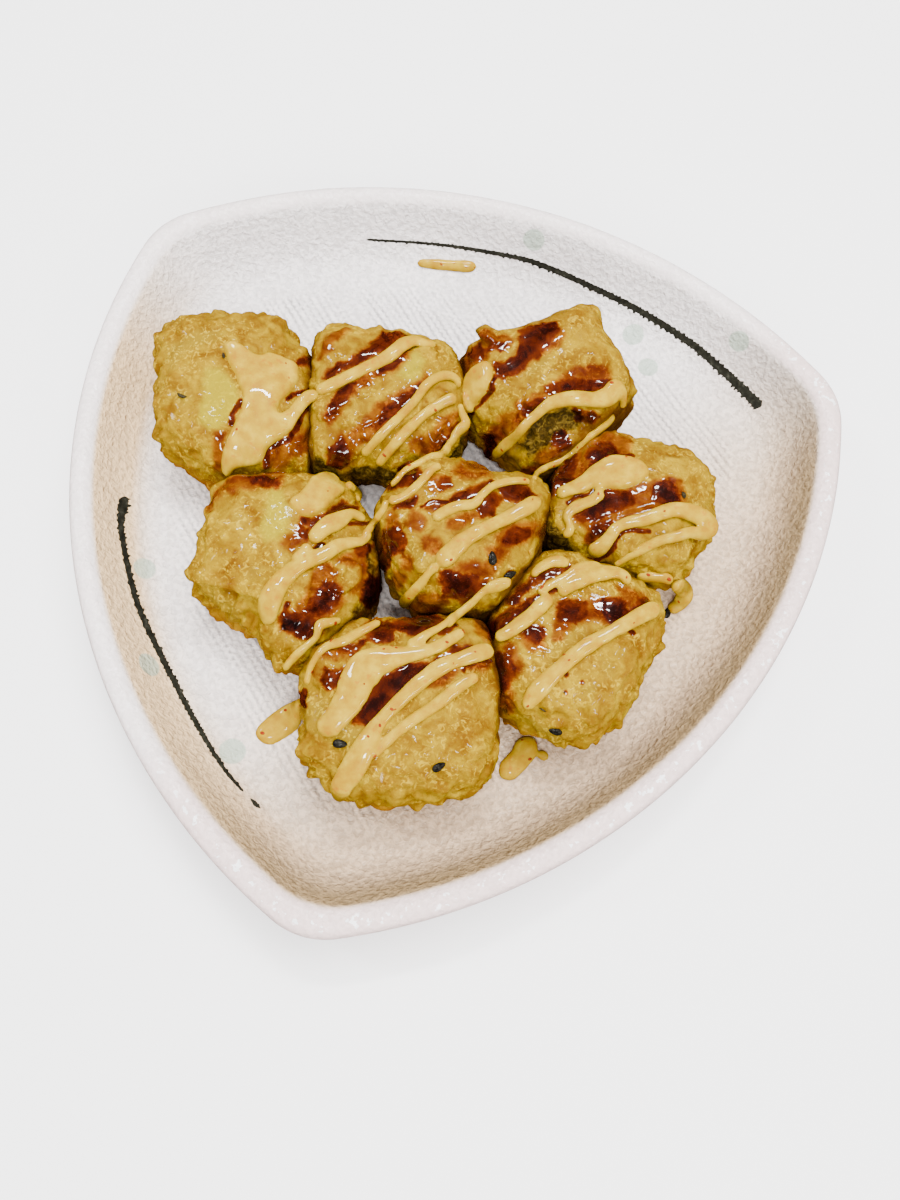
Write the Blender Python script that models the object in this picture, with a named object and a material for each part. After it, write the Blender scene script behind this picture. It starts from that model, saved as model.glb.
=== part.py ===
"""Crispy sushi bites: eight battered, fried roll slices with sauce drizzle, on their three-cornered dish.

Units are metres and +Z is up. The origin is at the centre of the dish's box, on the table. The front
corner of the dish points along -Y. The food is laid out on a plan whose origin is the dish's centre.
"""

import math

import bmesh
import bpy
import numpy as np
from mathutils import Matrix, Vector, noise
from mathutils.bvhtree import BVHTree

MM = 0.001

# Dish
CORNER_REACH = 110.0 * MM       # dish centre to the tip of a rounded corner
SIDE_REACH = 91.3 * MM          # dish centre to the middle of a side
CORNER_RADIUS = 19.4 * MM
FLOOR_CORNER_RADIUS = 24.0 * MM
RIM_HEIGHT = 24.5 * MM
FLOOR_HEIGHT = 8.0 * MM
UNDERSIDE_HEIGHT = 2.2 * MM
FLOOR_SCALE = 0.80              # the floor's edge, as a share of the rim's outline
DISH_SHIFT = (CORNER_REACH - SIDE_REACH) / 2    # dish centre along +Y, so that the box is centred
SIDE_STEPS = 14
CORNER_STEPS = 8
SIXTH = math.radians(60)

# Share of the rim's outline and height in millimetres, from the floor over the rim and round to the underside
DISH_PROFILE = [(0.45, 8.0), (FLOOR_SCALE, 8.3), (0.84, 9.4), (0.87, 11.6), (0.896, 15.2), (0.916, 19.2),
                (0.934, 22.8), (0.952, 24.2), (0.974, 24.5), (0.992, 23.6), (1.0, 21.4), (0.99, 18.6),
                (0.955, 14.0), (0.90, 8.6), (0.82, 4.6), (0.70, 2.8), (0.665, 0.0), (0.625, 0.0), (0.61, 2.2)]

# Food
GAP = 0.3 * MM                  # left between pieces that touch
BODY_MIDDLE = 12.0 * MM         # height of a bite's widest level above the dish's floor
BODY_GRID = 8                   # squares along each edge of the cube that is rounded into a bite
PLAN_STEPS = 48                 # directions in which a bite's plan is worked out
PLAN_START = 0.9                # first guess at a plan, as a share of its outline
PLAN_ROUNDS = 14                # times that a plan is corrected
PLAN_EASE = 0.8                 # share of each correction that is taken
RISE_LIMIT = 80                 # steepest direction, in degrees, in which a silhouette is sought
RISE_STEPS = 33
LUMP_SIZE = 9.0 * MM
LUMP_DEPTH = 0.9 * MM
KNOB_SIZE = 4.5 * MM
KNOB_DEPTH = 0.45 * MM
CLIP_SOFTNESS = 16.0            # higher is a crisper edge where bites press together
CREASE_LEVEL = FLOOR_HEIGHT + 18.0 * MM     # where neighbouring bites are seen to part
TINY = 1e-4                     # a direction's least share towards a plane that can cut it
FAR = 1e3                       # stands for a limit that is never met
NOUGHT = 1e-12                  # keeps a division by nothing away

# Outlines and drizzle are drawn in plan as they appear from EYE on the level SIGHT_LEVEL
EYE = Vector((19.8, -88.6, 215.1)) * MM
SIGHT_LEVEL = RIM_HEIGHT - 6.0 * MM

# Drizzle and seeds
DRIZZLE_STEP = 4.2 * MM
DRIZZLE_SIDES = 6
DRIZZLE_SINK = 0.9 * MM
DRIZZLE_RISE = 0.75 * MM        # plus DRIZZLE_PLUMP times the width
DRIZZLE_PLUMP = 0.2
DRIZZLE_CLEAR = 0.6 * MM        # left between drizzle and a neighbouring bite
DRIZZLE_LEAST = 1.3 * MM        # a drizzle thinned to less than this ends
DRIZZLE_END = 0.75              # how much a drizzle narrows at its ends
DRIZZLE_TIP = 0.3               # how far a tip reaches, as a share of the width
CURVE_STEPS = 12                # points of a smooth curve between two given ones
SEED_SIZE = (1.7 * MM, 1.0 * MM, 0.7 * MM)

# Each side of a cube: the directions across it, up it and out of it
CUBE_SIDES = [((0, 1, 0), (0, 0, 1), (1, 0, 0)), ((0, -1, 0), (0, 0, 1), (-1, 0, 0)),
              ((-1, 0, 0), (0, 0, 1), (0, 1, 0)), ((1, 0, 0), (0, 0, 1), (0, -1, 0)),
              ((1, 0, 0), (0, 1, 0), (0, 0, 1)), ((-1, 0, 0), (0, 1, 0), (0, 0, -1))]

BATTER = (0.80, 0.55, 0.13)
GLAZE = (0.86, 0.84, 0.83)

# Every outline and route is in millimetres on the plan. Drizzle points are x, y and width.
BITES = {
    "bite_back_left": {
        "outline": [(-86, 25), (-83, 30.3), (-77, 33), (-70, 36), (-62, 38), (-57, 38.5), (-51, 36),
                    (-47.5, 31.5), (-41, 29), (-35, 22), (-31, 12), (-29, 2), (-30, -7), (-40, -13),
                    (-51, -16), (-60, -13.8), (-69, -10.5), (-75, -5), (-77.3, 0), (-81, 12), (-84, 19)],
        "top": 27, "square": 3.2, "lean": (200, 0.10),
        "drizzle": [
            [(-66.5, 26.3, 3), (-62, 23, 8), (-57, 19, 12), (-52.5, 13, 12), (-51, 6, 12), (-51.5, -1, 10.5),
             (-53.5, -6, 7), (-54.5, -9, 4)],
            [(-57, 21.5, 7), (-52, 22, 9.5), (-48.5, 21, 8)],
            [(-50, 0, 5), (-46, 3.5, 5), (-43.5, 8, 4.2), (-43, 13, 4.4), (-41.5, 17, 4)]],
        "seeds": [(-73, 8, 120), (-66.5, 23, 60)]},
    "bite_back_middle": {
        "outline": [(-46, 36), (-42, 39.5), (-38, 42), (-32, 41.5), (-25, 44.2), (-20, 44.6),
                    (-14, 43.6), (-8, 43.5), (-2, 40), (2, 33), (5, 25), (5, 16), (2, 7), (-5, 0),
                    (-11, -3.5), (-18, -3), (-24, -5), (-31, -8), (-38, -6), (-41, 4), (-43, 15),
                    (-46, 25)],
        "top": 27, "square": 3.0, "lean": (80, 0.12),
        "drizzle": [
            [(-39.5, 19.3, 3.2), (-33, 25.6, 3.5), (-26, 32.8, 3.6), (-22.5, 38, 4.2), (-19, 41.8, 4),
             (-12.5, 42.6, 2.6)],
            [(-21.7, 4.5, 2.8), (-18, 13, 3.4), (-14.3, 21.5, 2.6), (-11.8, 29.5, 3), (-6.5, 34.3, 2.8),
             (-3.5, 32, 1.8)],
            [(-17.6, 3, 2.6), (-14.5, 12.5, 4), (-9.8, 21.8, 3.2), (-3, 28.6, 3.6)],
            [(1.2, 21.5, 2.8), (-1, 15, 2.4), (-2.5, 10.5, 2.4)]],
        "seeds": []},
    "bite_back_right": {
        "outline": [(27, 68), (29.5, 64), (31, 59.5), (36, 55.5), (42.3, 49), (43.5, 43), (44.3, 37),
                    (43.5, 28), (39, 19), (33, 11), (25, 8), (17, 9.5), (12, 14), (6, 17.5), (0, 20),
                    (-4, 27), (-7, 35), (-6.5, 41.5), (-3, 46), (0.5, 50), (6, 53), (12, 58),
                    (18, 62.5), (22, 66.5)],
        "top": 32, "square": 2.9, "lean": (60, 0.16),
        "drizzle": [
            [(2.5, 41, 2.6), (1.9, 37.5, 6), (1.5, 33.5, 7.4), (1, 29.5, 5.6), (1.4, 26, 3)],
            [(11, 14.5, 2.6), (15.5, 22.5, 3.2), (19, 29.5, 2.8), (21.8, 33.8, 3.4), (27, 36.8, 4.3),
             (33, 38.2, 4.6), (37, 41.5, 5.2), (38.5, 43.5, 4)],
            [(38.8, 35, 2.4), (36.5, 30.5, 2.8), (31.5, 22.5, 2.8), (27, 16.8, 2.4), (23.5, 13, 2)]],
        "seeds": []},
    "bite_right": {
        "outline": [(45, 30.5), (51, 30), (58, 31.2), (64, 29.5), (68, 25), (70, 18), (71, 12), (70, 6),
                    (67, -1), (64, -8), (57, -12), (47, -12.5), (38, -11), (30, -8.5), (25, -3),
                    (23.5, 5), (25, 14), (30, 24), (38, 31)],
        "top": 27, "square": 3.0, "lean": (20, 0.08),
        "drizzle": [
            [(29.5, 8, 3.2), (35.5, 13, 4.4), (39, 17, 6), (43, 19.5, 9), (47.5, 20, 9)],
            [(41, 12.5, 3.2), (36.5, 7.3, 3), (33.5, 3.2, 2.6), (34.8, -0.5, 2.6)],
            [(41, -5.5, 4), (45.3, 0.5, 3.6), (49.5, 6, 3.2), (56.5, 10.5, 3.8), (62, 13, 4.4),
             (68, 11.5, 5)],
            [(65, 7.5, 3.4), (58.5, 3.5, 2.8), (50.8, -3.8, 2.2)]],
        "seeds": [(61.5, 17.5, 70)]},
    "bite_middle": {
        "outline": [(-16, -4), (-13, 5), (-7, 11), (1, 11), (8, 10.8), (15, 11.5), (23, 12.5), (30, 10),
                    (32.5, 2), (32, -7), (31.5, -14), (28.5, -23), (23, -31), (16, -34.5), (9, -36),
                    (2, -34), (-3, -30.5), (-8.5, -24.5), (-13.5, -19), (-16.5, -12)],
        "top": 31, "square": 2.8, "lean": (300, 0.05),
        "drizzle": [
            [(5, -19, 4), (9.5, -11, 4.2), (16, -4.2, 3.4), (22, 1.5, 3.8), (25, 5.3, 3)],
            [(3.2, -22.5, 2.2), (1, -27.5, 2.6), (-0.3, -31, 3)],
            [(0.5, -7.5, 2.8), (5, -2.7, 3), (9.5, -0.3, 2.6), (12, 4.5, 2.2), (16.5, 8, 2.2)],
            [(-12, -5.5, 3), (-7, -1.5, 2.6), (-3.5, 6, 2.4)],
            [(23.5, -18, 2.6), (20.5, -20.3, 3.6), (16, -26, 2.4), (12.5, -31, 2.4)]],
        "seeds": [(23, -16.5, 40), (17.8, -13.5, 110)]},
    "bite_left": {
        "outline": [(-54, -10), (-48, -4), (-40, -1.5), (-33, 0), (-26, -0.5), (-20, -4), (-15.5, -10),
                    (-10.5, -17), (-6.5, -24.5), (-6, -31), (-6.5, -38), (-10, -46), (-15, -53),
                    (-21, -56.5), (-27, -54.5), (-31, -49.5), (-38, -48), (-46, -46.5), (-52, -42.5),
                    (-53.5, -35), (-54.5, -27), (-55.8, -18)],
        "top": 27, "square": 3.1, "lean": (170, 0.08),
        "drizzle": [
            [(-25.5, -5, 3), (-28, -6.8, 6), (-30.5, -10.5, 8.6), (-32, -13.8, 7.4)],
            [(-17.5, -12, 2.6), (-20.5, -12.3, 3), (-23.5, -15.5, 4.6), (-26.5, -20.2, 3.6)],
            [(-15.5, -18.3, 2.6), (-20.5, -21, 3.6), (-26.5, -27, 4.2), (-31, -34.5, 5), (-32, -40, 6),
             (-31.5, -44, 5)],
            [(-27.5, -22.5, 2.8), (-28.8, -26, 3)],
            [(-18.4, -43, 2.6), (-20, -48, 2.4), (-22.3, -52, 2.4)]],
        "seeds": []},
    "bite_front": {
        "outline": [(-15.5, -65), (-18.5, -58), (-21, -50), (-19.5, -42), (-13, -36.5), (-5, -34.5),
                    (3, -31), (12, -28.5), (20, -29.5), (26.5, -34), (30.5, -42), (32, -50), (31, -58),
                    (31, -66.5), (26, -72.5), (20, -75), (12, -78), (5, -80), (-3, -79), (-9, -76.5),
                    (-14.5, -72.5)],
        "top": 28, "square": 3.2, "lean": (90, 0.06),
        "drizzle": [
            [(12.5, -37, 3.4), (7, -42, 3.4), (0, -45.5, 6), (-4, -49, 8), (-5.8, -54.5, 8), (-7.3, -61, 6.6),
             (-9.2, -66.5, 5)],
            [(-7, -39.5, 2.4), (-12, -44.5, 2.6), (-16, -48.5, 2.2)],
            [(21, -38, 4), (14.5, -42.5, 3.8), (8.5, -50, 3.8), (4, -59, 4.2), (1.5, -67, 6), (-0.8, -74, 6),
             (-1.7, -79, 4.6)],
            [(22, -43.5, 2.8), (16.5, -50, 3), (10, -58, 3.2), (5.2, -65, 3)]],
        "seeds": [(-5, -68.2, 10), (18.5, -67, 40)]},
    "bite_front_right": {
        "outline": [(25, -9), (32, -5), (41, -4), (50, -5), (57, -8.5), (62, -14), (63.8, -19.5),
                    (63, -26), (60.8, -32), (60, -38), (58, -44), (55, -49), (51, -53.5), (44, -55),
                    (36, -53.5), (29, -52.5), (23, -48), (19.5, -40), (17.5, -31), (19.5, -22),
                    (22, -14)],
        "top": 27, "square": 3.1, "lean": (330, 0.07),
        "drizzle": [
            [(24, -33, 2.8), (28.5, -28.5, 3.6), (33, -21.5, 3.6), (34.6, -18.8, 3)],
            [(37, -18, 3), (38.3, -15, 3.6), (44, -10.8, 4), (50, -9.2, 3.4)],
            [(35, -48, 3), (38.5, -40, 4.4), (44, -31.5, 3.6), (50.5, -24.5, 3.5), (57.5, -17.5, 4),
             (60.5, -15.8, 3)],
            [(30, -12.8, 2.4), (33, -10.6, 3)]],
        "seeds": [(43, -51.5, 160)]},
}

# Where neighbours press together: the line between each two, as seen at CREASE_LEVEL
CREASES = [
    ("bite_back_left", "bite_back_middle", (-43.5, 29), (-34, -2)),
    ("bite_back_left", "bite_left", (-54, -12.5), (-33, -6.5)),
    ("bite_back_middle", "bite_left", (-34, -4), (-20, -3.7)),
    ("bite_back_middle", "bite_back_right", (-7, 43), (3.5, 18)),
    ("bite_back_middle", "bite_middle", (-14, -3), (1, 9.5)),
    ("bite_back_right", "bite_right", (24, 11), (38, 31)),
    ("bite_back_right", "bite_middle", (10, 11.5), (25, 10)),
    ("bite_right", "bite_middle", (27, 10), (29, -8)),
    ("bite_right", "bite_front_right", (29, -7.5), (63, -10)),
    ("bite_middle", "bite_front_right", (29, -10), (21, -29)),
    ("bite_middle", "bite_front", (0, -34), (18, -30.5)),
    ("bite_middle", "bite_left", (-14.5, -10), (-7, -28)),
    ("bite_left", "bite_front", (-8.5, -37), (-19.5, -54)),
    ("bite_front", "bite_front_right", (22.5, -33), (29, -50)),
]

# Drops of drizzle that fell on the dish, on the same plan
DISH_DRIZZLE = [
    [(-25, 67.2, 2), (-20, 68, 3.2), (-12, 70, 3.4), (-8.5, 70.8, 2.4)],
    [(-17, -61.5, 4), (-18.8, -65.5, 7), (-21.5, -69, 7), (-23.8, -71.3, 4)],
    [(38.5, -55.5, 4), (37, -59, 6.4), (34.8, -63, 6), (33, -65.2, 4)],
    [(64, -7.5, 4), (66.3, -9, 5), (65.5, -12.5, 4.4), (63.6, -15.2, 3)],
]


def clear_scene():
    for item in list(bpy.data.objects):
        bpy.data.objects.remove(item)


def colour(name, rgb, roughness):
    material = bpy.data.materials.new(name)
    material.use_nodes = True
    shader = material.node_tree.nodes["Principled BSDF"]
    shader.inputs["Base Color"].default_value = (*rgb, 1.0)
    shader.inputs["Roughness"].default_value = roughness
    shader.inputs["Metallic"].default_value = 0.0
    return material


def mesh_object(name, points, faces, collection=None):
    mesh = bpy.data.meshes.new(name)
    mesh.from_pydata([tuple(point) for point in points], [], faces)
    mesh.validate()
    item = bpy.data.objects.new(name, mesh)
    (collection or bpy.context.scene.collection).objects.link(item)
    return item


def dish_ring(scale):
    """Rounded three-cornered outline, scaled about the dish's centre, with the front corner on -Y."""
    corner_share = min(max((scale - FLOOR_SCALE) / (1 - FLOOR_SCALE), 0.0), 1.0)
    radius = FLOOR_CORNER_RADIUS + (CORNER_RADIUS - FLOOR_CORNER_RADIUS) * corner_share
    radius *= min(scale / FLOOR_SCALE, 1.0)
    reach = CORNER_REACH * scale - radius
    inner = SIDE_REACH * scale - radius
    arc_offset = (reach ** 2 - inner ** 2) / (2 * inner - reach)
    arc_radius = arc_offset + SIDE_REACH * scale
    tip = Vector((reach * math.cos(SIXTH), reach * math.sin(SIXTH)))
    half = math.atan2(tip.y, arc_offset + tip.x)
    side = []
    for step in range(SIDE_STEPS):
        angle = -half + 2 * half * step / SIDE_STEPS
        side.append(Vector((arc_radius * math.cos(angle) - arc_offset, arc_radius * math.sin(angle))))
    for step in range(CORNER_STEPS):
        angle = half + (2 * SIXTH - 2 * half) * step / CORNER_STEPS
        side.append(tip + radius * Vector((math.cos(angle), math.sin(angle))))
    return [Matrix.Rotation(math.radians(90 + 120 * turn), 2) @ point for turn in range(3) for point in side]


def make_dish():
    """One closed loft from the middle of the floor, over the rim, to the middle of the underside."""
    points = [(0, 0, FLOOR_HEIGHT)]
    faces = []
    count = 3 * (SIDE_STEPS + CORNER_STEPS)
    for scale, height in DISH_PROFILE:
        points.extend((point.x, point.y, height * MM) for point in dish_ring(scale))
    points.append((0, 0, UNDERSIDE_HEIGHT))
    last = len(points) - 1
    for step in range(count):
        after = (step + 1) % count
        faces.append((0, 1 + step, 1 + after))
        faces.append((last, last - count + after, last - count + step))
        for row in range(len(DISH_PROFILE) - 1):
            low = 1 + row * count
            high = low + count
            faces.append((low + step, high + step, high + after, low + after))
    return mesh_object("dish", points, faces)


def seen_on_level(points, level):
    """Where points show on a level plane when they are looked at from the eye."""
    spread = (EYE.z - level) / (EYE.z - points[:, 2])
    flat = np.array(EYE.xy) + (points[:, :2] - np.array(EYE.xy)) * spread[:, None]
    return flat


def outline_reach(outline, middle, directions):
    """Distance from middle to a closed outline along each direction."""
    starts = outline - middle
    edges = np.roll(starts, -1, axis=0) - starts
    reach = np.zeros(len(directions))
    for index, (dx, dy) in enumerate(directions):
        cross = dx * edges[:, 1] - dy * edges[:, 0]
        cross = np.where(np.abs(cross) < NOUGHT, NOUGHT, cross)
        along = (starts[:, 0] * edges[:, 1] - starts[:, 1] * edges[:, 0]) / cross
        share = (starts[:, 0] * dy - starts[:, 1] * dx) / cross
        hits = along[(share >= 0) & (share <= 1) & (along > 0)]
        reach[index] = hits.max() if len(hits) else 0.0
    return reach


class Bite:
    """A battered slice: a rounded body, star-shaped about its centre, that fits its outline from the eye."""

    def __init__(self, name, spec):
        self.name = name
        self.square = spec["square"]
        self.lean_angle = math.radians(spec["lean"][0])
        self.lean = spec["lean"][1]
        self.drizzle = spec["drizzle"]
        self.seeds = spec["seeds"]
        self.planes = []
        outline = np.array(spec["outline"]) * MM
        self.seen_middle = (outline.max(axis=0) + outline.min(axis=0)) / 2
        height = FLOOR_HEIGHT + BODY_MIDDLE
        spread = (EYE.z - height) / (EYE.z - SIGHT_LEVEL)
        plan = np.array(EYE.xy) + (self.seen_middle - np.array(EYE.xy)) * spread
        self.centre = np.array([plan[0], plan[1], height])
        self.up = (spec["top"] * MM - BODY_MIDDLE)
        self.down = BODY_MIDDLE - GAP
        self.angles = np.arange(PLAN_STEPS) * 2 * math.pi / PLAN_STEPS
        self.fit_plan(outline)

    def fit_plan(self, outline):
        """Grows or shrinks the plan in each direction until the body's silhouette lies on its outline."""
        self.plan = outline_reach(outline, self.seen_middle, unit(self.angles)) * PLAN_START
        rises = np.radians(np.linspace(-RISE_LIMIT, RISE_LIMIT, RISE_STEPS))
        turns, climbs = np.meshgrid(self.angles, rises)
        around = sphere(turns.ravel(), climbs.ravel())
        for _ in range(PLAN_ROUNDS):
            points = self.centre + around * self.smooth_radius(around)[:, None]
            flat = seen_on_level(points, SIGHT_LEVEL) - self.seen_middle
            length = np.linalg.norm(flat, axis=1)
            target = outline_reach(outline, self.seen_middle, flat / length[:, None])
            share = (length / target).reshape(turns.shape).max(axis=0)
            share = (np.roll(share, 1) + 2 * share + np.roll(share, -1)) / 4
            self.plan = self.plan / share ** PLAN_EASE

    def smooth_radius(self, around):
        """Radius of the plain rounded body along unit vectors."""
        turn = np.arctan2(around[:, 1], around[:, 0])
        level = np.hypot(around[:, 0], around[:, 1])
        plan = np.interp(turn % (2 * math.pi), self.angles, self.plan, period=2 * math.pi)
        up = self.up * (1 + self.lean * np.cos(turn - self.lean_angle) * level)
        half = np.where(around[:, 2] > 0, up, self.down)
        power = self.square
        return ((level / plan) ** power + (np.abs(around[:, 2]) / half) ** power) ** (-1 / power)

    def radius(self, around):
        """Radius with the batter's lumps, pressed flat at the floor and against the neighbours."""
        radius = self.smooth_radius(around)
        for index, point in enumerate(self.centre + around * radius[:, None]):
            lump = noise.noise(Vector(point) / LUMP_SIZE)
            knob = noise.noise(Vector(point) / KNOB_SIZE)
            radius[index] += lump * LUMP_DEPTH + knob * KNOB_DEPTH
        for normal, distance in self.planes:
            facing = around @ normal
            limit = np.where(facing > TINY, distance / np.maximum(facing, TINY), FAR)
            radius = (radius ** -CLIP_SOFTNESS + limit ** -CLIP_SOFTNESS) ** (-1 / CLIP_SOFTNESS)
        limit = np.where(around[:, 2] < -TINY, self.down / np.maximum(-around[:, 2], TINY), FAR)
        return np.minimum(radius, limit)

    def press_at(self, normal, level_distance):
        """Keeps the body behind an upright plane, given by its normal and distance from the plan's middle."""
        self.planes.append((normal, level_distance - self.centre @ normal - GAP / 2))

    def points(self, around):
        return self.centre + around * self.radius(around)[:, None]


def unit(angles):
    return np.stack([np.cos(angles), np.sin(angles)], axis=-1)


def sphere(turns, climbs):
    """Unit vectors from turns about +Z and climbs above the level."""
    return np.stack([np.cos(climbs) * np.cos(turns), np.cos(climbs) * np.sin(turns), np.sin(climbs)], axis=-1)


def cube_sphere(grid):
    """Unit vectors and faces of a cube whose sides have grid by grid squares, blown up to a sphere."""
    steps = np.tan(np.linspace(-1, 1, grid + 1) * math.pi / 4)
    found = {}
    vectors = []
    faces = []

    def corner(side, i, j):
        across, up, out = CUBE_SIDES[side]
        vector = np.array(out) + steps[i] * np.array(across) + steps[j] * np.array(up)
        key = tuple(np.round(vector, 6) + 0.0)
        if key not in found:
            found[key] = len(vectors)
            vectors.append(vector / np.linalg.norm(vector))
        return found[key]

    for side in range(6):
        for i in range(grid):
            for j in range(grid):
                faces.append((corner(side, i, j), corner(side, i + 1, j), corner(side, i + 1, j + 1),
                              corner(side, i, j + 1)))
    return np.array(vectors), faces


def smooth_route(route, step):
    """Points at even steps along a smooth curve through the route's points; every column is carried along."""
    knots = np.array(route, float)
    ends = np.vstack([2 * knots[0] - knots[1], knots, 2 * knots[-1] - knots[-2]])
    curve = []
    for index in range(len(knots) - 1):
        before, start, stop, after = ends[index:index + 4]
        for share in np.linspace(0, 1, CURVE_STEPS, endpoint=False):
            curve.append(0.5 * (2 * start + (stop - before) * share
                                + (2 * before - 5 * start + 4 * stop - after) * share ** 2
                                + (3 * start - before - 3 * stop + after) * share ** 3))
    curve.append(knots[-1])
    curve = np.array(curve)
    run = np.concatenate([[0], np.cumsum(np.linalg.norm(np.diff(curve[:, :2], axis=0), axis=1))])
    count = max(2, round(run[-1] / step) + 1)
    places = np.linspace(0, run[-1], count)
    return np.stack([np.interp(places, run, column) for column in curve.T], axis=-1)


def look_at(tree, x, y):
    """Where the line from the eye through a point of the plan first meets a surface."""
    towards = Vector((x, y, SIGHT_LEVEL)) - EYE
    place, normal, _, _ = tree.ray_cast(EYE, towards.normalized())
    return place, normal


def lay_drizzle(tree, route, room_at):
    """Runs of (place, normal, width) of a drizzle on a surface, thinned or broken close to a neighbour."""
    runs = [[]]
    for x, y, width in smooth_route(np.array(route) * MM, DRIZZLE_STEP):
        place, normal = look_at(tree, x, y)
        room = room_at(place) if place else 0.0
        if room < DRIZZLE_LEAST:
            runs.append([])
            continue
        runs[-1].append((place, normal, min(width, room)))
    return [run for run in runs if len(run) > 1]


def drizzle_tube(name, run, collection):
    """A closed bead with a flattened section, sunk a little into what it lies on."""
    points = []
    faces = []
    last = len(run) - 1
    for index, (place, normal, width) in enumerate(run):
        along = (run[min(index + 1, last)][0] - run[max(index - 1, 0)][0]).normalized()
        across = along.cross(normal).normalized()
        outward = across.cross(along).normalized()
        taper = DRIZZLE_END if index in (0, last) else 1.0
        rise = (DRIZZLE_RISE + DRIZZLE_PLUMP * width) * taper
        for side in range(DRIZZLE_SIDES):
            angle = 2 * math.pi * side / DRIZZLE_SIDES
            lift = math.sin(angle) * (rise if math.sin(angle) > 0 else DRIZZLE_SINK)
            points.append(place + across * (math.cos(angle) * width / 2 * taper) + outward * lift)
    for end, inward in ((0, -1), (last, 1)):
        along = (run[min(end + 1, last)][0] - run[max(end - 1, 0)][0]).normalized()
        points.append(run[end][0] + along * inward * run[end][2] * DRIZZLE_TIP)
    sides = DRIZZLE_SIDES
    for index in range(last):
        for side in range(sides):
            after = (side + 1) % sides
            faces.append((index * sides + side, index * sides + after, (index + 1) * sides + after,
                          (index + 1) * sides + side))
    for side in range(sides):
        after = (side + 1) % sides
        faces.append((len(points) - 2, after, side))
        faces.append((len(points) - 1, last * sides + side, last * sides + after))
    return mesh_object(name, points, faces, collection)


def seed_at(name, place, normal, turn, collection):
    """A low oval pip lying half sunk on a surface."""
    along = Vector((math.cos(turn), math.sin(turn), 0))
    along = (along - normal * along.dot(normal)).normalized()
    across = normal.cross(along)
    shape = bmesh.new()
    bmesh.ops.create_icosphere(shape, subdivisions=1, radius=1.0)
    for vertex in shape.verts:
        x, y, z = (part * size for part, size in zip(vertex.co, SEED_SIZE))
        vertex.co = place + along * x + across * y + normal * z
    mesh = bpy.data.meshes.new(name)
    shape.to_mesh(mesh)
    shape.free()
    item = bpy.data.objects.new(name, mesh)
    collection.objects.link(item)
    return item


def fuse(item, extras):
    """Joins everything in a collection to an object, and removes the collection."""
    bpy.context.scene.collection.children.link(extras)
    joined = item.modifiers.new("fuse", "BOOLEAN")
    joined.operation = "UNION"
    joined.operand_type = "COLLECTION"
    joined.collection = extras
    joined.solver = "EXACT"
    bpy.context.view_layer.update()
    graph = bpy.context.evaluated_depsgraph_get()
    mesh = bpy.data.meshes.new_from_object(item.evaluated_get(graph))
    item.modifiers.clear()
    item.data = mesh
    for extra in list(extras.objects):
        bpy.data.objects.remove(extra)
    bpy.data.collections.remove(extras)


def dress(item, routes, seeds, room_at):
    """Fuses drizzle and seeds to an object; room_at gives the width that has room at a place."""
    mesh = item.data
    tree = BVHTree.FromPolygons([vertex.co for vertex in mesh.vertices],
                                [face.vertices for face in mesh.polygons])
    extras = bpy.data.collections.new(item.name + "_toppings")
    for index, route in enumerate(routes):
        for part, run in enumerate(lay_drizzle(tree, route, room_at)):
            drizzle_tube(f"{item.name}_drizzle_{index}_{part}", run, extras)
    for index, (x, y, turn) in enumerate(seeds):
        place, normal = look_at(tree, x * MM, y * MM)
        seed_at(f"{item.name}_seed_{index}", place, normal, math.radians(turn), extras)
    fuse(item, extras)


def press_together(bites):
    """Gives each two neighbours the upright plane between them."""
    spread = (EYE.z - CREASE_LEVEL) / (EYE.z - SIGHT_LEVEL)
    eye = np.array(EYE.xy)
    for name, other, start, stop in CREASES:
        start, stop = (eye + (np.array(point) * MM - eye) * spread for point in (start, stop))
        along = (stop - start) / np.linalg.norm(stop - start)
        normal = np.array([along[1], -along[0], 0])
        distance = start @ normal[:2]
        side = 1 if bites[name].centre @ normal < distance else -1
        bites[name].press_at(side * normal, side * distance)
        bites[other].press_at(-side * normal, -side * distance)


def make_bites():
    bites = {name: Bite(name, spec) for name, spec in BITES.items()}
    press_together(bites)
    around, faces = cube_sphere(BODY_GRID)
    for bite in bites.values():
        item = mesh_object(bite.name, bite.points(around), faces)

        def room_at(place, bite=bite):
            offset = np.array(place) - bite.centre
            nearest = min(distance - offset @ normal for normal, distance in bite.planes)
            return 2 * (nearest - DRIZZLE_CLEAR - DRIZZLE_RISE)

        dress(item, bite.drizzle, bite.seeds, room_at)


def main():
    clear_scene()
    dish = make_dish()
    dress(dish, DISH_DRIZZLE, [], lambda place: math.inf)
    make_bites()
    for item in bpy.context.scene.objects:
        item.location.y = DISH_SHIFT
        rgb, roughness = (GLAZE, 0.25) if item.name == "dish" else (BATTER, 0.45)
        item.data.materials.clear()
        item.data.materials.append(colour(item.name, rgb, roughness))


main()
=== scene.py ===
"""Looks for the crispy sushi bites on their three-cornered dish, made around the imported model.

Lengths are in metres. Food and decoration are laid out on a plan whose origin is the dish's centre, in
millimetres, as they appear from the camera on a level plane near the rim. Each piece sits on the plan's
origin by its location, so its own coordinates are the plan's.
"""

import math

import bmesh
import bpy
import numpy as np
from mathutils import Matrix, Vector, geometry, noise
from mathutils.bvhtree import BVHTree


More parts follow.
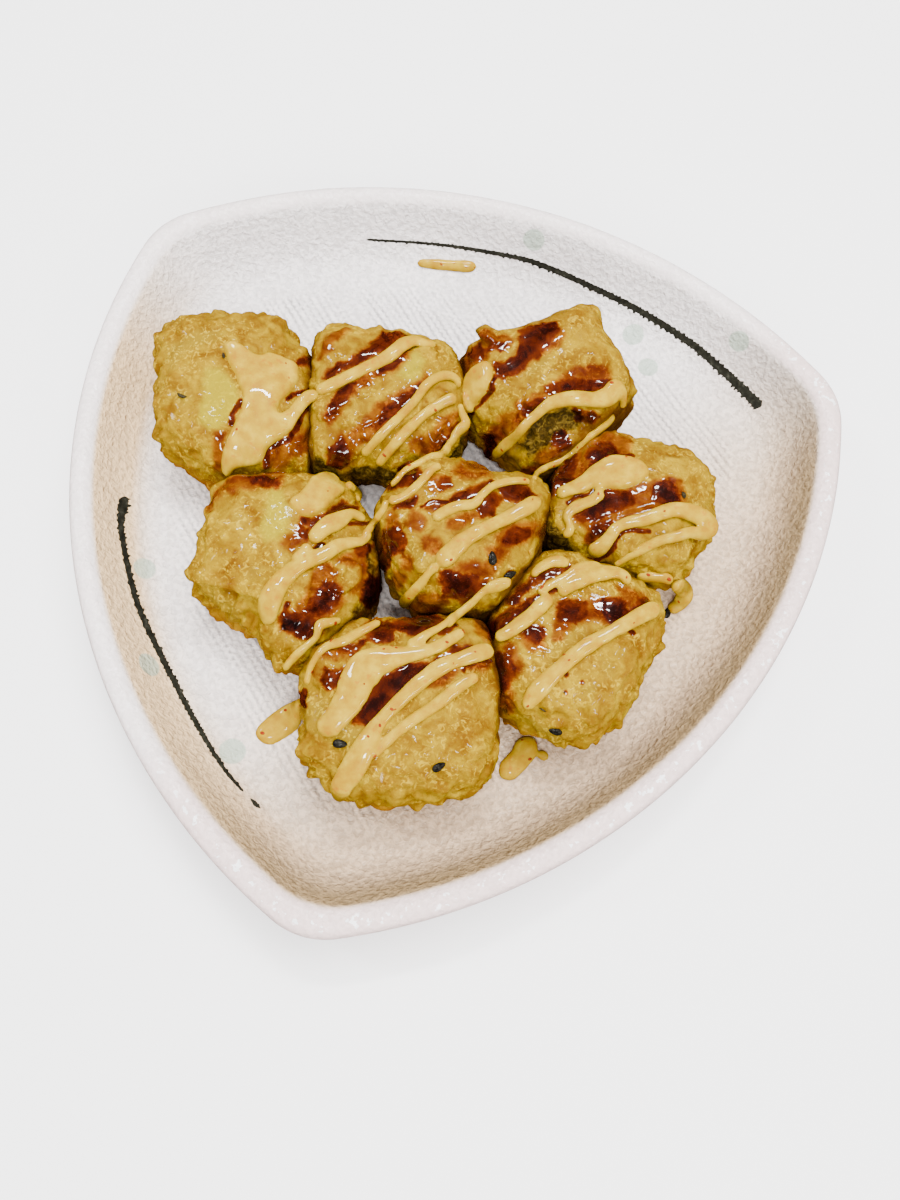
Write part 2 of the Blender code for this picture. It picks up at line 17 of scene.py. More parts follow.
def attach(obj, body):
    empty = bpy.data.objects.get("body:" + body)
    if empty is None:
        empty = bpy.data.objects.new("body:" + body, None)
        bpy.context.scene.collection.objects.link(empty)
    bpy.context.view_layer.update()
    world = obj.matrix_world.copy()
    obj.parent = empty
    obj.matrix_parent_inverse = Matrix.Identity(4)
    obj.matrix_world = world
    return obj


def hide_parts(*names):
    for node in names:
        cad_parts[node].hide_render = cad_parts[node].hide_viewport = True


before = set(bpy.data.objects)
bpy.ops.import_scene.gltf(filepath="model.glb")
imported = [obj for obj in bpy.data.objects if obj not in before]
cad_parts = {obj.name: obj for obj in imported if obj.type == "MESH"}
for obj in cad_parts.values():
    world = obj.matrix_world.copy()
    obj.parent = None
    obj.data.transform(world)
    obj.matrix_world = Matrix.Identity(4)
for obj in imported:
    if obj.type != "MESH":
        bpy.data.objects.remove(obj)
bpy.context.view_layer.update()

MM = 0.001
RNG = np.random.default_rng(7)
SLOPES = RNG.normal(size=(256, 3))
SLOPES /= np.linalg.norm(SLOPES, axis=1)[:, None]
CELL_PRIMES = (73856093, 19349663, 83492791)
SEED_PRIME = 2654435761
MIX_PRIME = 1274126177
TINY = 1e-4
SLIVER = 1e-12                  # keeps divisions by nothing from failing
FAR = 1e3
CURVE_STEPS = 12                # steps between two points of a route, before it is evened out
INSIDE_TRIANGLES = 1            # what delaunay_2d_cdt keeps: the triangles inside the outline
WELD = 1e-7

# Dish
CORNER_REACH = 110.0 * MM
SIDE_REACH = 91.3 * MM
CORNER_RADIUS = 19.4 * MM
FLOOR_CORNER_RADIUS = 24.0 * MM
RIM_HEIGHT = 24.5 * MM
FLOOR_HEIGHT = 8.0 * MM
UNDERSIDE_HEIGHT = 2.2 * MM
FLOOR_SCALE = 0.80
FLOOR_PATCH_SCALE = 0.78        # the ribbed floor's edge, as a share of the rim's outline
FOOT_SCALE = 0.71               # within this share of the outline, the underside keeps its edges
DISH_SHIFT = (CORNER_REACH - SIDE_REACH) / 2
SIDE_STEPS = 90
CORNER_STEPS = 42
SIXTH = math.radians(60)
PROFILE_STEPS = 5               # rings between two points of the profile
INNER_RINGS = 8 * PROFILE_STEPS - 1     # rings from the floor's edge up to the rim's top
DISH_PROFILE = [(FLOOR_PATCH_SCALE, 8.15), (FLOOR_SCALE, 8.3), (0.84, 9.4), (0.87, 11.6), (0.896, 15.2),
                (0.916, 19.2), (0.934, 22.8), (0.952, 24.2), (0.974, 24.5), (0.992, 23.6), (1.0, 21.4),
                (0.99, 18.6), (0.955, 14.0), (0.90, 8.6), (0.82, 4.6), (0.70, 2.8), (0.665, 0.0),
                (0.625, 0.0), (0.61, 2.2)]
RIB_TURN = math.radians(-43)    # direction in which the floor's ribs run
RIB_PITCH = 1.8 * MM
RIB_DEPTH = 0.085 * MM
RIB_ACROSS = 0.42 * MM          # spacing of the floor's points across the ribs
RIB_ALONG = 1.9 * MM
RIB_STRAY = 0.55 * MM           # how far a rib strays from its line
FLOOR_LUMP_SIZE = 2.6 * MM
FLOOR_LUMP_DEPTH = 0.05 * MM
FLOOR_FADE = 5.0 * MM           # width of the band in which ribs and lumps fade out
FLOOR_CLEARANCE = 0.6 * MM      # least distance of the floor's inner points from its edge
GLAZE_WAVES = [(5.0 * MM, 84, 0.06 * MM), (22.0 * MM, 85, 0.10 * MM)]      # sizes, seeds and depths
EVEN_HEIGHT = 3.0 * MM          # up to here the dish has no such waves

# Food
GAP = 0.3 * MM
BODY_MIDDLE = 12.0 * MM
BODY_GRID = 76
PLAN_STEPS = 48
FIT_ROUNDS = 14                 # how often a body's plan is fitted to its outline
FIT_CLIMBS = np.radians(np.linspace(-80, 80, 33))       # where its silhouette is looked for
LUMP_SIZE = 9.0 * MM
LUMP_DEPTH = 0.9 * MM
KNOB_SIZE = 4.5 * MM
KNOB_DEPTH = 0.45 * MM
PEBBLE_SIZE = 3.2 * MM          # the crust's rounded bumps
PEBBLE_DEPTH = 0.32 * MM
GRAIN_SIZE = 1.5 * MM
GRAIN_DEPTH = 0.07 * MM
FRILL_SIZE = 4.6 * MM           # the ragged bulges round each bite's side
FRILL_DEPTH = 0.9 * MM
SAUCE_DEPTH = 0.22 * MM
RIDGE_SLOPE = 1.4 * MM          # width of the slope beside a ridge
AREA_WAVER_SIZE = 3.4 * MM      # how finely and how far the edges of coloured areas wander
AREA_WAVER = 0.5 * MM
OUTSIDE = -6.0 * MM             # depth given to points far outside an area
EDGE_STRENGTH = 2.5             # how much darker a thin run of sauce is than an area as wide
OVERLAP = 0.5 * MM              # how far the batter of neighbours runs into each other
SEAM_WAVE = 1.1 * MM            # how far the seam between neighbours wanders
CLIP_SOFTNESS = 16.0
CREASE_LEVEL = FLOOR_HEIGHT + 18.0 * MM

# Camera: where it stands, what it looks at and how it is rolled, on the plan
EYE = Vector((19.8, -88.6, 215.1)) * MM
AIM = Vector((10.7, -28.95, 24.5)) * MM
ROLL = math.radians(6.94)
LENS = 24.96                    # focal length, for a picture as high as the sensor
SENSOR_HEIGHT = 36.0
CLIP_START = 10.0 * MM
SIGHT_LEVEL = RIM_HEIGHT - 6.0 * MM     # height of the plan

# Light: name, place, size, power and whether glossy surfaces mirror it
LIGHTS = [("window", (0.18, 0.26, 1.0), (0.7, 0.5), 22.0, False),
          ("fill", (0.20, -0.80, 0.62), (0.7, 0.4), 9.0, False),
          ("lamp_back", (-0.10, 0.42, 1.00), (0.25, 0.05), 7.0, True),
          ("lamp_front", (0.10, -0.42, 0.95), (0.13, 0.07), 4.5, True),
          ("lamp_left", (-0.62, 0.05, 0.75), (0.08, 0.15), 3.0, True),
          ("lamp_right", (0.80, -0.50, 0.70), (0.16, 0.08), 2.5, True)]
LIGHT_TARGET = Vector((0, 0, 0.02))
WORLD_COLOUR = (1.0, 0.99, 0.985, 1.0)
WORLD_STRENGTH = 1.45
TABLE_REACH = 3.0
TABLE_COLOUR = (0.93, 0.93, 0.93)

# Mayonnaise
STRAND_STEP = 0.6 * MM
STRAND_SIDES = 14
STRAND_SINK = 0.8 * MM
STRAND_RISE = 0.45 * MM
STRAND_PLUMP = 0.22
STRAND_TOP = 1.7 * MM
STRAND_FULLNESS = 0.85          # below 1 its top is fuller than an ellipse
STRAND_BRIDGE = 4               # steps on each side over which a strand spans a crease
STRAND_LIFT = 3.5 * MM          # how far above a crease it may hang
BRIDGE_SPREAD = 2.4             # smoothing of the bridge, of the lie below it and of the normals, in steps
LIE_SPREAD = 1.6
NORMAL_SPREAD = 3.5
STRAND_WAVER_SIZE = 2.5 * MM    # how finely and by which share its width wavers
STRAND_WAVER = 0.08
END_LEAST = 0.02                # keeps rounded ends from closing to a point
PUDDLE_RING_STEP = 1.0          # spacing of the points round a puddle, in the plan's millimetres
PUDDLE_STEP = 0.75 * MM
PUDDLE_RISE = 1.5 * MM
PUDDLE_SINK = STRAND_SINK * 1.2
PUDDLE_EDGE = 2.3 * MM
PUDDLE_SWELL_SIZE = 6.0 * MM
PUDDLE_SWELL = 0.2
PUDDLE_ROUNDS = 10              # how often its lie is smoothed
PUDDLE_HOLD = 0.3               # how much of its own lie a point keeps each time
MAYO_VOXEL = 0.36 * MM
MELT_FACTOR = 0.5
MELT_ROUNDS = 5

# Seeds, scraps and flecks
SEED_SIZES = (1.65 * MM, 0.95 * MM, 0.6 * MM)   # half a seed's length, width and height
SEED_POINT = 0.28               # how pointed one end of it is
SEED_LIFT = 0.35 * MM
SCRAP_FORM = {"sink": 0.2 * MM, "rise": 0.12 * MM, "plump": 0.1}
FLECKS_PER_AREA = 0.018 / MM ** 2
FLECK_REACH = (0.25, 0.62)      # half a fleck's length in millimetres, least and greatest
FLECK_WIDTH = (0.5, 0.8)        # its width as a share of its length
FLECK_HEIGHT = 0.13 * MM
FLECK_SINK = 0.03 * MM
FLECK_LEAST_UP = 0.25           # faces that look less far up carry no fleck

# Brush strokes
STROKE_STEP = 0.16 * MM         # spacing of a stroke's points along it
STROKE_END = 0.9 * MM           # length of its rounded ends
STROKE_COLUMNS = 6              # faces across it
STROKE_LANE = 9.0 * MM          # keeps the noise of each stroke apart from the next one's
RAGGED_SIZE = 0.8 * MM
RAGGED_SHARE = 0.26             # how much of its width its edges waver
BRISTLE_SIZE = 1.0 * MM
BRISTLE_REACH = 0.18            # longest bristle mark, as a share of the width
BRISTLE_STRENGTHS = (0.5, 1.1)  # of the marks on its cleaner and on its frayed edge
STROKE_LIFT = 0.05 * MM
STROKE_SINK = 0.06 * MM         # how far its edges lie below the glaze

# Each side of a cube: the directions across it, up it and out of it
CUBE_SIDES = [((0, 1, 0), (0, 0, 1), (1, 0, 0)), ((0, -1, 0), (0, 0, 1), (-1, 0, 0)),
              ((-1, 0, 0), (0, 0, 1), (0, 1, 0)), ((1, 0, 0), (0, 0, 1), (0, -1, 0)),
              ((1, 0, 0), (0, 1, 0), (0, 0, 1)), ((-1, 0, 0), (0, 1, 0), (0, 0, -1))]

# Outlines of the bites on the plan, their height, squareness and lean, and what colours them.
# Areas: "amber" is thin sauce, "deep" thick sauce, "yellow" filling and "dark" seaweed that show through;
# "dark" also marks painted shade on shaded flanks and in crevices between bites. "waxy" is pale bare batter.
# Lines, with x, y and width: "edges" are thin runs of thick sauce, some of them painted shadow along the
# lower edges of mayonnaise strands, "ridges" a line and its height.
BITES = {
    "bite_back_left": {
        "outline": [(-86, 25), (-83, 30.3), (-77, 33), (-70, 36), (-62, 38), (-57, 38.5), (-51, 36),
                    (-47.5, 31.5), (-41, 29), (-35, 22), (-31, 12), (-29, 2), (-30, -7), (-40, -13),
                    (-51, -16), (-60, -13.8), (-69, -10.5), (-75, -5), (-77.3, 0), (-81, 12), (-84, 19)],
        "top": 27, "square": 3.2, "lean": (200, 0.10),
        "amber": [[(-42, 3.5), (-39.5, 6), (-38.5, 7.5), (-36.5, 8), (-35.5, 5), (-36, 2), (-38, 0),
                   (-40, -1), (-40.5, -4), (-43, -5), (-45.5, -5), (-46.5, -1), (-44, 1)],
                  [(-60.5, 0.5), (-58.5, 0.8), (-57.5, -3), (-55.5, -9), (-57, -9.5), (-59.5, -4)],
                  [(-41, 24), (-39, 24.5), (-37, 22), (-38.5, 20.8), (-41, 21.5)]],
        "deep": [[(-47, 26.5), (-46.5, 28), (-43, 28.8), (-42, 29.8), (-40.5, 28), (-40, 25.5), (-41, 24.5),
                  (-42, 26.5), (-44, 26)]],
        "edges": [[(-39, 17, 1.2), (-41, 12, 1.4), (-41.2, 7, 1.4), (-42, 4, 1.6), (-46.3, -0.5, 1.6),
                   (-46, -3, 1.4), (-45.3, -5, 1.2)],
                  [(-46, 15, 1), (-45, 16.5, 1), (-43, 18, 1), (-40, 21, 1)],
                  [(-57.5, 11, 1.2), (-58.2, 7, 1.2), (-57.5, 4, 1)]],
        "yellow": [[(-69.5, 18), (-66, 19.5), (-61, 16), (-58.5, 13), (-57.5, 10), (-59, 5), (-59.5, 0.5),
                    (-62, 0.5), (-66, 2), (-67.5, 6), (-68, 9.5), (-69, 13)]],
        "dark": [],
        "waxy": [[(-75, 10), (-71, 11), (-70, 7), (-72, 5), (-75, 6)],
                 [(-82, 22), (-76, 29), (-68, 31), (-70, 26), (-76, 21), (-79, 14)]],
        "ridges": []},
    "bite_back_middle": {
        "outline": [(-46, 36), (-42, 39.5), (-38, 42), (-32, 41.5), (-25, 44.2), (-20, 44.6), (-14, 43.6),
                    (-8, 43.5), (-2, 40), (2, 33), (5, 25), (5, 17), (3, 13.5), (2.4, 9.5), (-4, 1),
                    (-11, -2.2), (-17, -2.6), (-21.5, -3.6), (-24, -5), (-31, -8), (-38, -6), (-41, 4),
                    (-43, 15), (-46, 25)],
        "top": 27, "square": 3.0, "lean": (80, 0.12),
        "amber": [[(-22, 37), (-20.5, 39), (-19.3, 39), (-19, 35.5), (-20.5, 32), (-24, 29.5), (-25.5, 27),
                   (-28, 24), (-30, 20), (-32, 14), (-33, 11.5), (-34.5, 12), (-34.5, 15), (-33.5, 19),
                   (-32.5, 25), (-30, 25.5), (-28, 28), (-25, 31.5), (-22.5, 35)],
                  [(-41.8, 36), (-39, 41), (-37, 41.5), (-36.5, 40.5), (-38, 38), (-39.5, 34.5), (-41, 31),
                   (-42, 29.5)],
                  [(-12, 33), (-14, 30), (-18.5, 25), (-20.5, 22), (-23, 20.5), (-24, 14.5), (-26, 11),
                   (-28.5, 8.5), (-30, 5), (-31, 2), (-29.5, 0.3), (-27, 1), (-25.5, 3.5), (-24, 8),
                   (-20.5, 12), (-17.5, 17.5), (-13.8, 23.5), (-13, 28), (-11.5, 32)],
                  [(-1, 24.5), (-2, 20), (-1.5, 16.5), (-3, 10.5), (-6.5, 9.8), (-10, 9.5), (-11, 11.5),
                   (-9, 13.5), (-7, 16), (-5, 20), (-2.5, 24)]],
        "deep": [[(-38.5, 23.5), (-36, 29), (-33, 32), (-30.5, 35.5), (-29.5, 38), (-27, 41.5),
                  (-24.5, 43.5), (-21, 44.6), (-18, 44.2), (-22.5, 42.5), (-24, 39), (-27, 36),
                  (-33.5, 29.5), (-36, 26)],
                 [(-21, 19), (-17.5, 23), (-15, 26.5), (-13, 29.5), (-13.3, 25.5), (-15.5, 21),
                  (-20, 15.5)],
                 [(-30.5, 4.5), (-28, 7.5), (-26, 5), (-25.5, 1), (-27, -0.5), (-30, 0.8)],
                 [(-33.2, 20), (-32.2, 24.5), (-29.8, 24.5), (-30.6, 20), (-32.5, 15), (-34, 14)],
                 [(-25, 30.5), (-22.3, 35.5), (-20.3, 37.5), (-20.3, 34), (-22.5, 31)]],
        "edges": [[(-11.5, 4, 1.4), (-8.5, 6, 1.4)],
                  [(-3, 10, 1), (-2.2, 13, 1), (-1.3, 17, 1), (-0.6, 21, 1)]],
        "yellow": [[(-19, 38.5), (-16.5, 38), (-14.3, 36), (-13.5, 32), (-16, 30), (-20, 30), (-21, 31.5),
                    (-19.5, 34)]],
        "dark": [[(-23, 1.5), (-17, 2.5), (-12, 3), (-11, 2.5), (-12.5, 0.5), (-14, -1.5), (-18, -4),
                  (-22, -5), (-24, -1.5)],
                 [(-33.5, 2.5), (-31.5, 0.5), (-28, -1.5), (-25, -2), (-27, -5), (-31, -6), (-33.5, -2.5)],
                 [(4.5, 20), (3.5, 10), (-1.5, 8), (-0.5, 12.5), (0.5, 15), (2, 18), (3.5, 21)]],
        "waxy": [[(-12, 20), (-8, 26), (-7, 22), (-9, 18)]],
        "ridges": [([(-38, 12, 4), (-30, 22, 4), (-20, 33, 4), (-14, 40, 4)], 0.7),
                   ([(-28, 2, 4), (-20, 14, 4), (-12, 24, 4), (-4, 36, 4)], 0.7)]},
    "bite_back_right": {
        "outline": [(27, 68), (29.5, 64), (31, 59.5), (36, 55.5), (42.3, 49), (43.5, 43), (44.3, 37),
                    (43.5, 28), (39, 19), (33, 11), (25, 8), (17, 10), (10.5, 13.8), (5, 16.3), (0, 20),
                    (-4, 27), (-7, 35), (-6.5, 41.5), (-3, 46), (0.5, 50), (6, 53), (12, 58), (18, 62.5),
                    (22, 66.5)],
        "top": 32, "square": 2.9, "lean": (60, 0.16),
        "amber": [[(14, 58), (19.2, 57.2), (20.4, 55.8), (20.2, 53.8), (19.6, 52.2), (18, 50.6), (15.5, 47),
                   (12, 42), (8, 40), (10, 50)],
                  [(-4.6, 37), (-4, 34), (-3, 33), (-2, 36.5), (-0.5, 39.5), (2, 42.5), (1.5, 43.5),
                   (3, 45.5), (5, 46.5), (7, 50), (5.5, 51), (2, 49.5), (-1.5, 46.5), (-3.5, 42.5)],
                  [(19.8, 36.3), (19.8, 38.5), (21, 40.5), (24, 43), (26, 46), (30, 48.5), (34, 49),
                   (36, 46), (35.2, 42.5), (32, 40.3), (27, 39.2), (24, 38)],
                  [(19.8, 35), (19, 36.5), (16.5, 34.5), (13.2, 31), (13.5, 29), (10, 26), (10.5, 24),
                   (9, 21.5), (7.2, 20), (8, 18), (9.8, 14.2), (11, 19.5), (13, 22), (15, 25.5), (17, 27),
                   (18.8, 32)],
                  [(22, 14), (22.5, 17), (25, 20.5), (28, 21), (28, 18.5), (26, 16), (24, 14.2)]],
        "deep": [[(9, 52.6), (8.4, 53.4), (10, 55.2), (12.4, 56.4), (15.6, 57.8), (17.2, 58.4), (18.5, 57),
                  (17.5, 54), (16.5, 50.5), (15.6, 47.4), (14, 45.8), (12.4, 44.2), (11.8, 41.8),
                  (10.4, 39.8), (8, 38.6), (6, 38.4), (4.4, 41.4), (7.6, 43.2), (10, 45.8), (10, 49)],
                 [(-3, 42), (-1.5, 45.5), (0.5, 45), (0, 42.5), (-2, 40)],
                 [(1.5, 45), (2.5, 47.5), (5.5, 48), (5, 46)],
                 [(19.8, 36.5), (20, 38.5), (23, 41), (26, 42.3), (30, 43), (33, 44.2), (36, 45.2),
                  (35.2, 42.5), (32, 40.3), (27, 39.2), (22, 37.3)],
                 [(19.8, 35), (18, 34), (15.5, 31.5), (15.5, 29), (18, 29.5), (18.8, 32)],
                 [(7.4, 19.8), (12.2, 20.8), (10.8, 18), (10, 15), (9.4, 14.5), (8.2, 17)],
                 [(31, 30.5), (31.5, 33), (28, 34), (33, 34.3), (35, 33.8), (33.5, 31)],
                 [(25.5, 21.5), (25.5, 24.5), (28, 25.5), (29.5, 23.5), (28, 21)],
                 [(19.5, 11), (19.5, 13.2), (22, 13), (21.5, 11)]],
        "edges": [[(19, 29, 0.8), (18.6, 31.5, 0.9), (19.8, 34.5, 0.9)],
                  [(5.3, 38, 0.8), (5.6, 33.5, 0.8), (4, 28.5, 0.8), (2, 24.5, 0.8)]],
        "yellow": [],
        "dark": [[(26, 33.8), (30, 34), (32, 32), (32.5, 29.5), (31, 27.5), (29, 24.5), (26, 24.5),
                  (25, 21), (22, 18), (20, 16), (16.5, 17.8), (18, 22), (18.2, 25.5), (20, 27.5),
                  (23.5, 31.5)]],
        "waxy": [[(6.5, 49.5), (8.5, 50), (9.8, 48), (9.5, 45.5), (8, 43.5), (3.5, 42.2), (4.5, 44),
                  (6, 46.5)],
                 [(15, 47), (19, 50), (18, 44), (15, 40), (11, 40), (13, 44)]],
        "ridges": [([(18, 20, 6), (24, 26, 8), (30, 29, 6)], -2.6),
                   ([(17, 33, 2.4), (25, 35.5, 2.4), (34, 36, 2.4)], 0.9),
                   ([(-1, 52.5, 1.2), (1, 49, 2.4)], 3.0)]},
    "bite_right": {
        "outline": [(45, 30.5), (51, 30), (58, 31.2), (64, 29.5), (68, 25), (70, 18), (71, 12), (70, 6),
                    (67, -1), (64, -8), (57, -12), (47, -12.5), (38, -11), (30, -8.5), (25, -3), (23.5, 5),
                    (25, 14), (30, 24), (38, 31)],
        "top": 27, "square": 3.0, "lean": (20, 0.08),
        "amber": [[(41.6, 29.2), (44.8, 29.5), (45, 25), (42.3, 23), (39.4, 20.7), (36.9, 16.8),
                   (33.3, 12.8), (29.4, 9.9), (27.9, 6.3), (26.7, 5.8), (24.7, 8.1), (23.6, 11),
                   (24.7, 13.2), (27.7, 15.7), (30.4, 18.9), (33, 23.6), (36.9, 27.9), (39.4, 29)],
                  [(45, 13.5), (48.4, 15.1), (50.6, 17.8), (53.8, 18.9), (57.4, 21.4), (59.6, 21.1),
                   (60.3, 19.3), (61.4, 16.4), (62.5, 14.6), (59.6, 14.2), (57.4, 13.2), (55.3, 11.4),
                   (51.3, 7.8), (47.4, 5.6), (43.8, 1.6), (41.2, -2), (39.8, -2.3), (40.2, 0.6),
                   (38.7, 1.3), (35.8, 2.4), (35.1, 3.1), (36.2, 5.6), (39.6, 9.9), (42, 13.2)]],
        "deep": [[(35.5, 24.5), (38, 26), (41, 25), (42, 23), (38.4, 18.9), (35.2, 14.6), (33, 12.5),
                  (29.4, 9.9), (28.5, 8.1), (24.7, 8.6), (23.8, 11), (25.5, 14), (28.3, 15.8), (30.5, 18.5),
                  (31.8, 20.5), (31.5, 15.5), (32.5, 14), (34, 14.2), (36, 18), (37, 21), (35, 21)],
                 [(35.5, 3.5), (37, 6), (39.6, 9.9), (41.1, 12.3), (44.5, 13.5), (47.5, 13.5), (49, 11.5),
                  (46.5, 9), (43, 6.5), (40, 4.2), (37.5, 3)],
                 [(40.2, 0.2), (42, 2.5), (44.5, 4.5), (45.2, 3.8), (43.8, 1.6), (41.2, -2), (39.9, -1.8)],
                 [(53.5, 17.2), (55.5, 19), (58, 19.5), (60, 17), (60.8, 15), (57.4, 13.6), (54.5, 13.5)]],
        "edges": [[(41.2, -7.5, 0.9), (43, -7, 1), (45.2, -4.5, 1), (46.6, -1.6, 1), (47, 0.9, 1),
                   (48.4, 2.9, 1), (50.6, 4, 1), (54.6, 4.9, 1)],
                  [(38.4, 12.5, 0.7), (37.5, 10.5, 0.8), (35, 9.5, 0.9), (33, 7, 0.8)],
                  [(37.5, 18.5, 0.9), (40, 21.3, 0.9), (43, 23.3, 0.9), (46, 24.6, 0.8)]],
        "yellow": [],
        "dark": [[(24, -4), (27, 0), (31, 1.5), (33, -1), (37, -6), (42, -10), (36, -13), (27, -9)]],
        "waxy": [[(32, 15), (33, 19), (36.5, 21.5), (36.5, 19), (34.5, 14.5)],
                 [(44, 6), (48, 8.8), (49.5, 8), (46, 5)], [(46, 25.5), (47, 29), (50, 29), (49, 26)]],
        "ridges": [([(25, 4, 4), (29, 2.5, 4.4), (31.5, -1, 3)], 1.2),
                   ([(41, 1, 1.8), (47, 5.5, 1.8), (54, 10, 1.8)], 0.6)]},
    "bite_middle": {
        "outline": [(-13.8, -4), (-12.5, 5), (-7, 11), (1, 10.6), (6, 10.4), (11.5, 9.4), (16, 11),
                    (23, 12.5), (30, 10), (32.5, 2), (32, -7), (31.5, -14), (28.5, -23), (23, -31),
                    (16, -34.5), (9, -36), (2, -33.6), (-3, -30), (-8.5, -24.5), (-13.5, -19), (-15, -12)],
        "top": 31, "square": 2.8, "lean": (300, 0.05),
        "amber": [[(-3, 3.7), (-1.4, 4.5), (-0.7, 2.5), (-1.4, 0.6), (-3, 1)],
                  [(3.6, 9.5), (6.7, 10.3), (9.4, 9.7), (11.3, 8.7), (10.2, 7.6), (7.1, 6.8), (4, 6),
                   (1.7, 6.8)],
                  [(-3.4, -5.2), (-1.4, -3.7), (0.9, -2.1), (4, -1.5), (3.2, -2.9), (0.1, -5.2)],
                  [(4.7, -6.7), (7.1, -4.8), (9.8, -3.3), (12.1, -2.9), (10.5, -4.6), (7.8, -7.5),
                   (4.7, -9)],
                  [(-5.3, -6), (-1.4, -8), (-2, -11), (-5.3, -11)],
                  [(-10.7, -8.7), (-9.2, -9.1), (-7.2, -12.2), (-8, -13.5), (-10.3, -13)],
                  [(-4.1, -19.1), (-1.8, -19.1), (-1.1, -21.1), (-1.4, -22.6), (-3.4, -22.2)],
                  [(0.1, -12.9), (2.8, -12.2), (4.7, -13.7), (4.4, -15.6), (2.8, -16.8), (0.9, -15.6)],
                  [(17.5, -7.5), (18.7, -5.6), (21, -3.7), (21.8, -2.1), (24.5, -1.3), (28.3, -1.3),
                   (28.3, -4), (26.8, -3.7), (24.9, -7.1), (20.2, -9.5), (18.3, -9.1)],
                  [(16, -11.4), (17.1, -10.6), (20.6, -10.6), (20.2, -12.5), (19.1, -14.9), (17.9, -19.1),
                   (9.4, -19.1), (10.5, -17.6), (12.9, -16), (16, -15.6), (17.1, -14.1)],
                  [(3.2, -28), (7.1, -26.5), (9.4, -27.6), (8.6, -30.3), (6.3, -32.3), (3.2, -32.7),
                   (1.7, -31.5)],
                  [(29.1, 3.3), (32.2, 4.1), (33.4, 3.3), (32.2, 1.8), (29.5, 1.4)],
                  [(-4.2, -23.4), (-2, -24), (-2.5, -27), (-4.5, -26)]],
        "deep": [[(-9.6, 3.7), (-7.2, 4.9), (-5.3, 3.7), (-5.7, 1.8), (-9.2, -0.2), (-12.3, -2.1),
                  (-10.7, 1.4)],
                 [(-6.6, -4), (-5.1, -2.9), (-5.9, -6), (-7, -6.4), (-9.6, -7.1), (-8, -5)],
                 [(0.1, 5), (1.7, 4.9), (2.2, 3.3), (1.1, 2.1), (-0.3, 1.4), (-0.9, 2.5)],
                 [(3.8, -0.6), (4.7, 1), (7.1, 2.9), (9.4, 4.5), (12.1, 6.2), (10.5, 2.1), (7.8, 0.4),
                  (5.5, -0.6), (4, -1.3)],
                 [(16, 7.2), (18.3, 7.8), (20.6, 6.8), (23.7, 6), (19.8, 3.7), (17.1, 3.7), (15.2, 5.2)],
                 [(11.7, 2.9), (14, 3.7), (16, 2.9), (14.8, -1.3), (12.5, -2.9), (11.3, -1.5)],
                 [(-10.3, -13.7), (-8, -13), (-5.3, -13.7), (-4.5, -15.6), (-4.9, -18), (-7.2, -19.5),
                  (-8.8, -18.4), (-9.9, -15.6)],
                 [(-9.6, -19.1), (-7.2, -19.9), (-6.9, -22.2), (-7.6, -24.5), (-8.8, -24.5), (-9.9, -20.7)],
                 [(6.7, -21.1), (8.6, -19.9), (10.9, -19.1), (14, -19.5), (18.1, -20.7), (16, -24.9),
                  (14.4, -26.5), (12.5, -25.7), (8.6, -26.1), (6.7, -22.6)],
                 [(20.5, -5.5), (22, -4), (25, -3), (25.5, -5), (22.5, -7.8), (20, -8)]],
        "edges": [[(17.2, -12.8, 0.8), (18.2, -14, 0.9)], [(22.4, -17.3, 0.8), (23, -15.9, 1.1)],
                  [(-3.4, -5, 0.6), (-0.7, -2.5, 0.7), (4, -1.5, 0.7)]],
        "yellow": [],
        "dark": [[(1.7, -34.2), (4.7, -31.9), (10.5, -32.3), (10.5, -34), (6.7, -36.1)],
                 [(16, -28.4), (19.8, -27.2), (22.5, -24.5), (25.2, -23), (26.4, -19.9), (28.3, -17.6),
                  (31, -20), (27, -28), (21, -34), (16, -33)]],
        "waxy": [[(-3, -14), (-1.5, -16), (3, -18), (1, -21), (-3, -19)],
                 [(3, 4.5), (7, 5), (4, 3), (2.8, 3.2)]],
        "ridges": [([(27, 5, 4), (30, 5, 4), (33, 4.5, 3)], 1.4),
                   ([(4, 9.5, 2), (12, 7, 2.4), (22, 9, 2)], 0.8),
                   ([(-14, 0, 2.4), (-8, 3.5, 2.4), (-3, 9, 2)], 0.7),
                   ([(27, -21, 2), (29, -12, 2)], 0.8)]},
    "bite_left": {
        "outline": [(-54, -10), (-48, -4), (-40, -1.5), (-33, 0), (-26, -0.5), (-20.8, -3.6), (-19.2, -9.4),
                    (-14.8, -11), (-10.5, -17), (-6.5, -24.5), (-6, -31), (-6.5, -38), (-10, -46),
                    (-15, -53), (-21, -56.5), (-27, -54.5), (-31, -49.5), (-38, -48), (-46, -46.5),
                    (-52, -42.5), (-53.5, -35), (-54.5, -27), (-55.8, -18)],
        "top": 27, "square": 3.1, "lean": (170, 0.08),
        "amber": [[(-54, -13), (-53, -9), (-50, -7), (-45, -5.3), (-40, -5.5), (-40.2, -9.6),
                   (-45.9, -11.2), (-50.1, -12.5), (-50.5, -14.5), (-52.1, -13.7)],
                  [(-55.7, -17.8), (-55, -15.4), (-53.8, -12.9), (-51.7, -10.4), (-52.1, -12.1),
                   (-53.8, -15.4), (-54.2, -19.5), (-54.8, -20.7)],
                  [(-31.5, -18.3), (-29.4, -18.7), (-28.2, -20.3), (-28.6, -22), (-31.1, -24.9),
                   (-33.5, -24.5), (-33.1, -22.4), (-31.1, -21.1)],
                  [(-24.5, -29.5), (-21.5, -26.5), (-20, -27.5), (-19.3, -30.2), (-16, -32), (-14.5, -34.5),
                   (-16.5, -39), (-18, -42), (-27, -42), (-25.3, -39.5), (-24, -33)],
